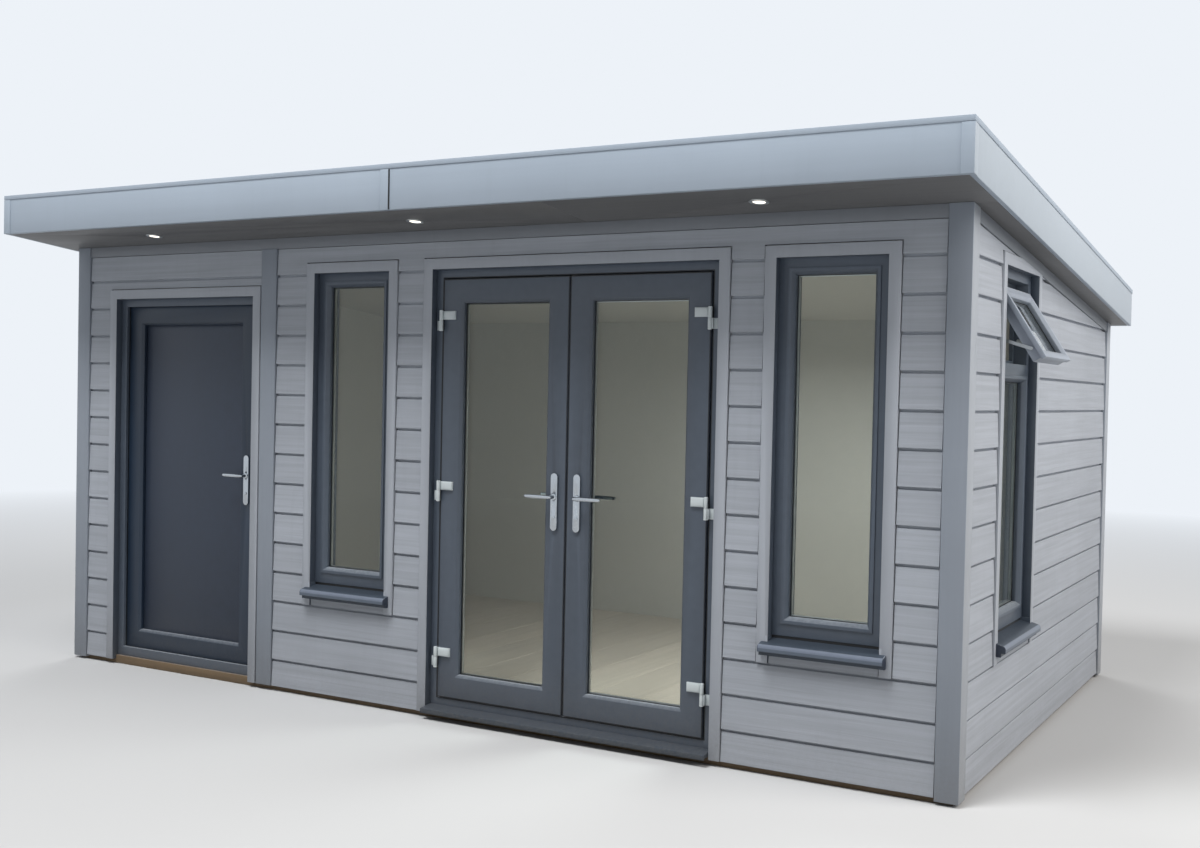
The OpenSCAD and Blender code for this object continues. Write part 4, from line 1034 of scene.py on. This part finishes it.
low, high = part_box("roof_membrane")
WIDTHS, HALF_LAP, SHEET_TOP = 5, 0.04, 0.1452
seams = []
for i in range(1, WIDTHS):
    x = low.x + i * (high.x - low.x) / WIDTHS
    seam = block("seam", (x - HALF_LAP, low.y + 0.002, 0), (x + HALF_LAP, high.y - 0.002, 0.0022), 0.0008)
    seams.append(on_roof(seam, SHEET_TOP))
KERB_X, KERB_Y = 2.540, 1.840
UPSTAND = [(0.0002, 0.0), (0.0002, 0.053), (0.0028, 0.053), (0.0028, 0.026), (0.024, 0.0005), (0.040, 0.0)]
front_strip = [(d - KERB_Y, z) for d, z in UPSTAND]
side_strip = [(KERB_X - d, z) for d, z in UPSTAND]
rear_end = high.y - 0.012
upstands = [drawn_out("upstand", front_strip, -KERB_X, KERB_X), drawn_out("upstand", side_strip, -KERB_Y, rear_end),
            drawn_out("upstand", side_strip, -rear_end, KERB_Y)]
for strip, degrees in zip(upstands, (0, 90, -90)):
    strip.data.transform(rotated(degrees, "Z"))
    seams.append(on_roof(strip, SHEET_TOP - 0.002))
roof_sheet = copy_of(nodes["roof_membrane"], "roof_sheet")
whole(roof_sheet)
bpy.ops.mesh.remove_doubles(threshold=MERGE)
leave()
hand_over(smooth(joined("roof_sheet", [roof_sheet] + seams)), sheet_black, replaces=["roof_membrane"])

# %% [markdown]
# ## Studio floor and light
# The pod stands on a plain pale floor. The floor fades into the background with distance, so there is no horizon. It
# throws back less light than it shows, so the soffit stays in shade. Large soft lamps high in front, at the right and
# behind, and a dimmer world, light everything evenly, and a small lamp fills the room. What the camera sees behind
# the pod is a plain near-white, and glass and metal reflect the same.

# %% Studio floor
SEEN = ("Is Camera Ray", "Is Glossy Ray", "Is Transmission Ray")
BACKGROUND, FADE = screen(237, 242, 248), (4.5, 14.0)
bpy.ops.object.select_all(action="DESELECT")
bpy.ops.mesh.primitive_plane_add(size=120, location=(0, 0, -0.0005))
studio_floor = bpy.context.object
studio_floor.name = "studio_floor"
pale = bpy.data.materials.new("studio_floor")
pale.use_nodes = True
tree = pale.node_tree
matt = add(tree, "BsdfDiffuse", Color=blend(tree, either(tree, *SEEN), screen(160, 160, 160), screen(200, 201, 202)))
glow = add(tree, "Emission", Color=BACKGROUND, Strength=1.0)
reach = add(tree, "VectorMath", {"operation": "LENGTH"}, i0=add(tree, "TexCoord").outputs["Object"]).outputs["Value"]
far = add(tree, "MixShader", i0=spread(tree, reach, *FADE, 0.0, 1.0), i1=matt.outputs[0], i2=glow.outputs[0])
tree.links.new(far.outputs[0], tree.nodes["Material Output"].inputs["Surface"])
studio_floor.data.materials.append(pale)
print("the floor fades between", FADE, "m from the middle of the pod")

# %% World and lamps
world = bpy.context.scene.world or bpy.data.worlds.new("studio")
bpy.context.scene.world = world
world.use_nodes = True
tree = world.node_tree
tree.nodes.clear()
soft = add(tree, "Background", Color=(0.95, 0.97, 1.0, 1), Strength=0.24)
plain = add(tree, "Background", Color=BACKGROUND, Strength=1.0)
around = add(tree, "MixShader", i0=either(tree, *SEEN), i1=soft.outputs[0], i2=plain.outputs[0])
tree.links.new(around.outputs[0], tree.nodes.new("ShaderNodeOutputWorld").inputs["Surface"])


def softbox(name, where, aim, size, power, colour=(1, 1, 1)):
    lamp = bpy.data.objects.new(name, bpy.data.lights.new(name, "AREA"))
    bpy.context.scene.collection.objects.link(lamp)
    lamp.data.shape, lamp.data.size, lamp.data.energy, lamp.data.color = "DISK", size, power, colour
    lamp.location = where
    lamp.rotation_euler = (Vector(aim) - Vector(where)).to_track_quat("-Z", "Y").to_euler()
    lamp.visible_camera = lamp.visible_glossy = lamp.visible_transmission = False


softbox("sky_front", (-0.5, -6.6, 12.0), (0, 0, 1.0), 5.0, 1330)
softbox("sky_right", (9.5, -1.0, 7.5), (0, 0, 1.0), 8.0, 830, (1.0, 0.955, 0.90))
softbox("sky_rear", (-5.0, 8.5, 7.5), (0, 0, 1.0), 8.0, 560)
softbox("room", (1.2, -0.2, 1.80), (1.2, -0.2, 0), 0.8, 25)
bpy.context.scene.view_settings.view_transform = "Standard"
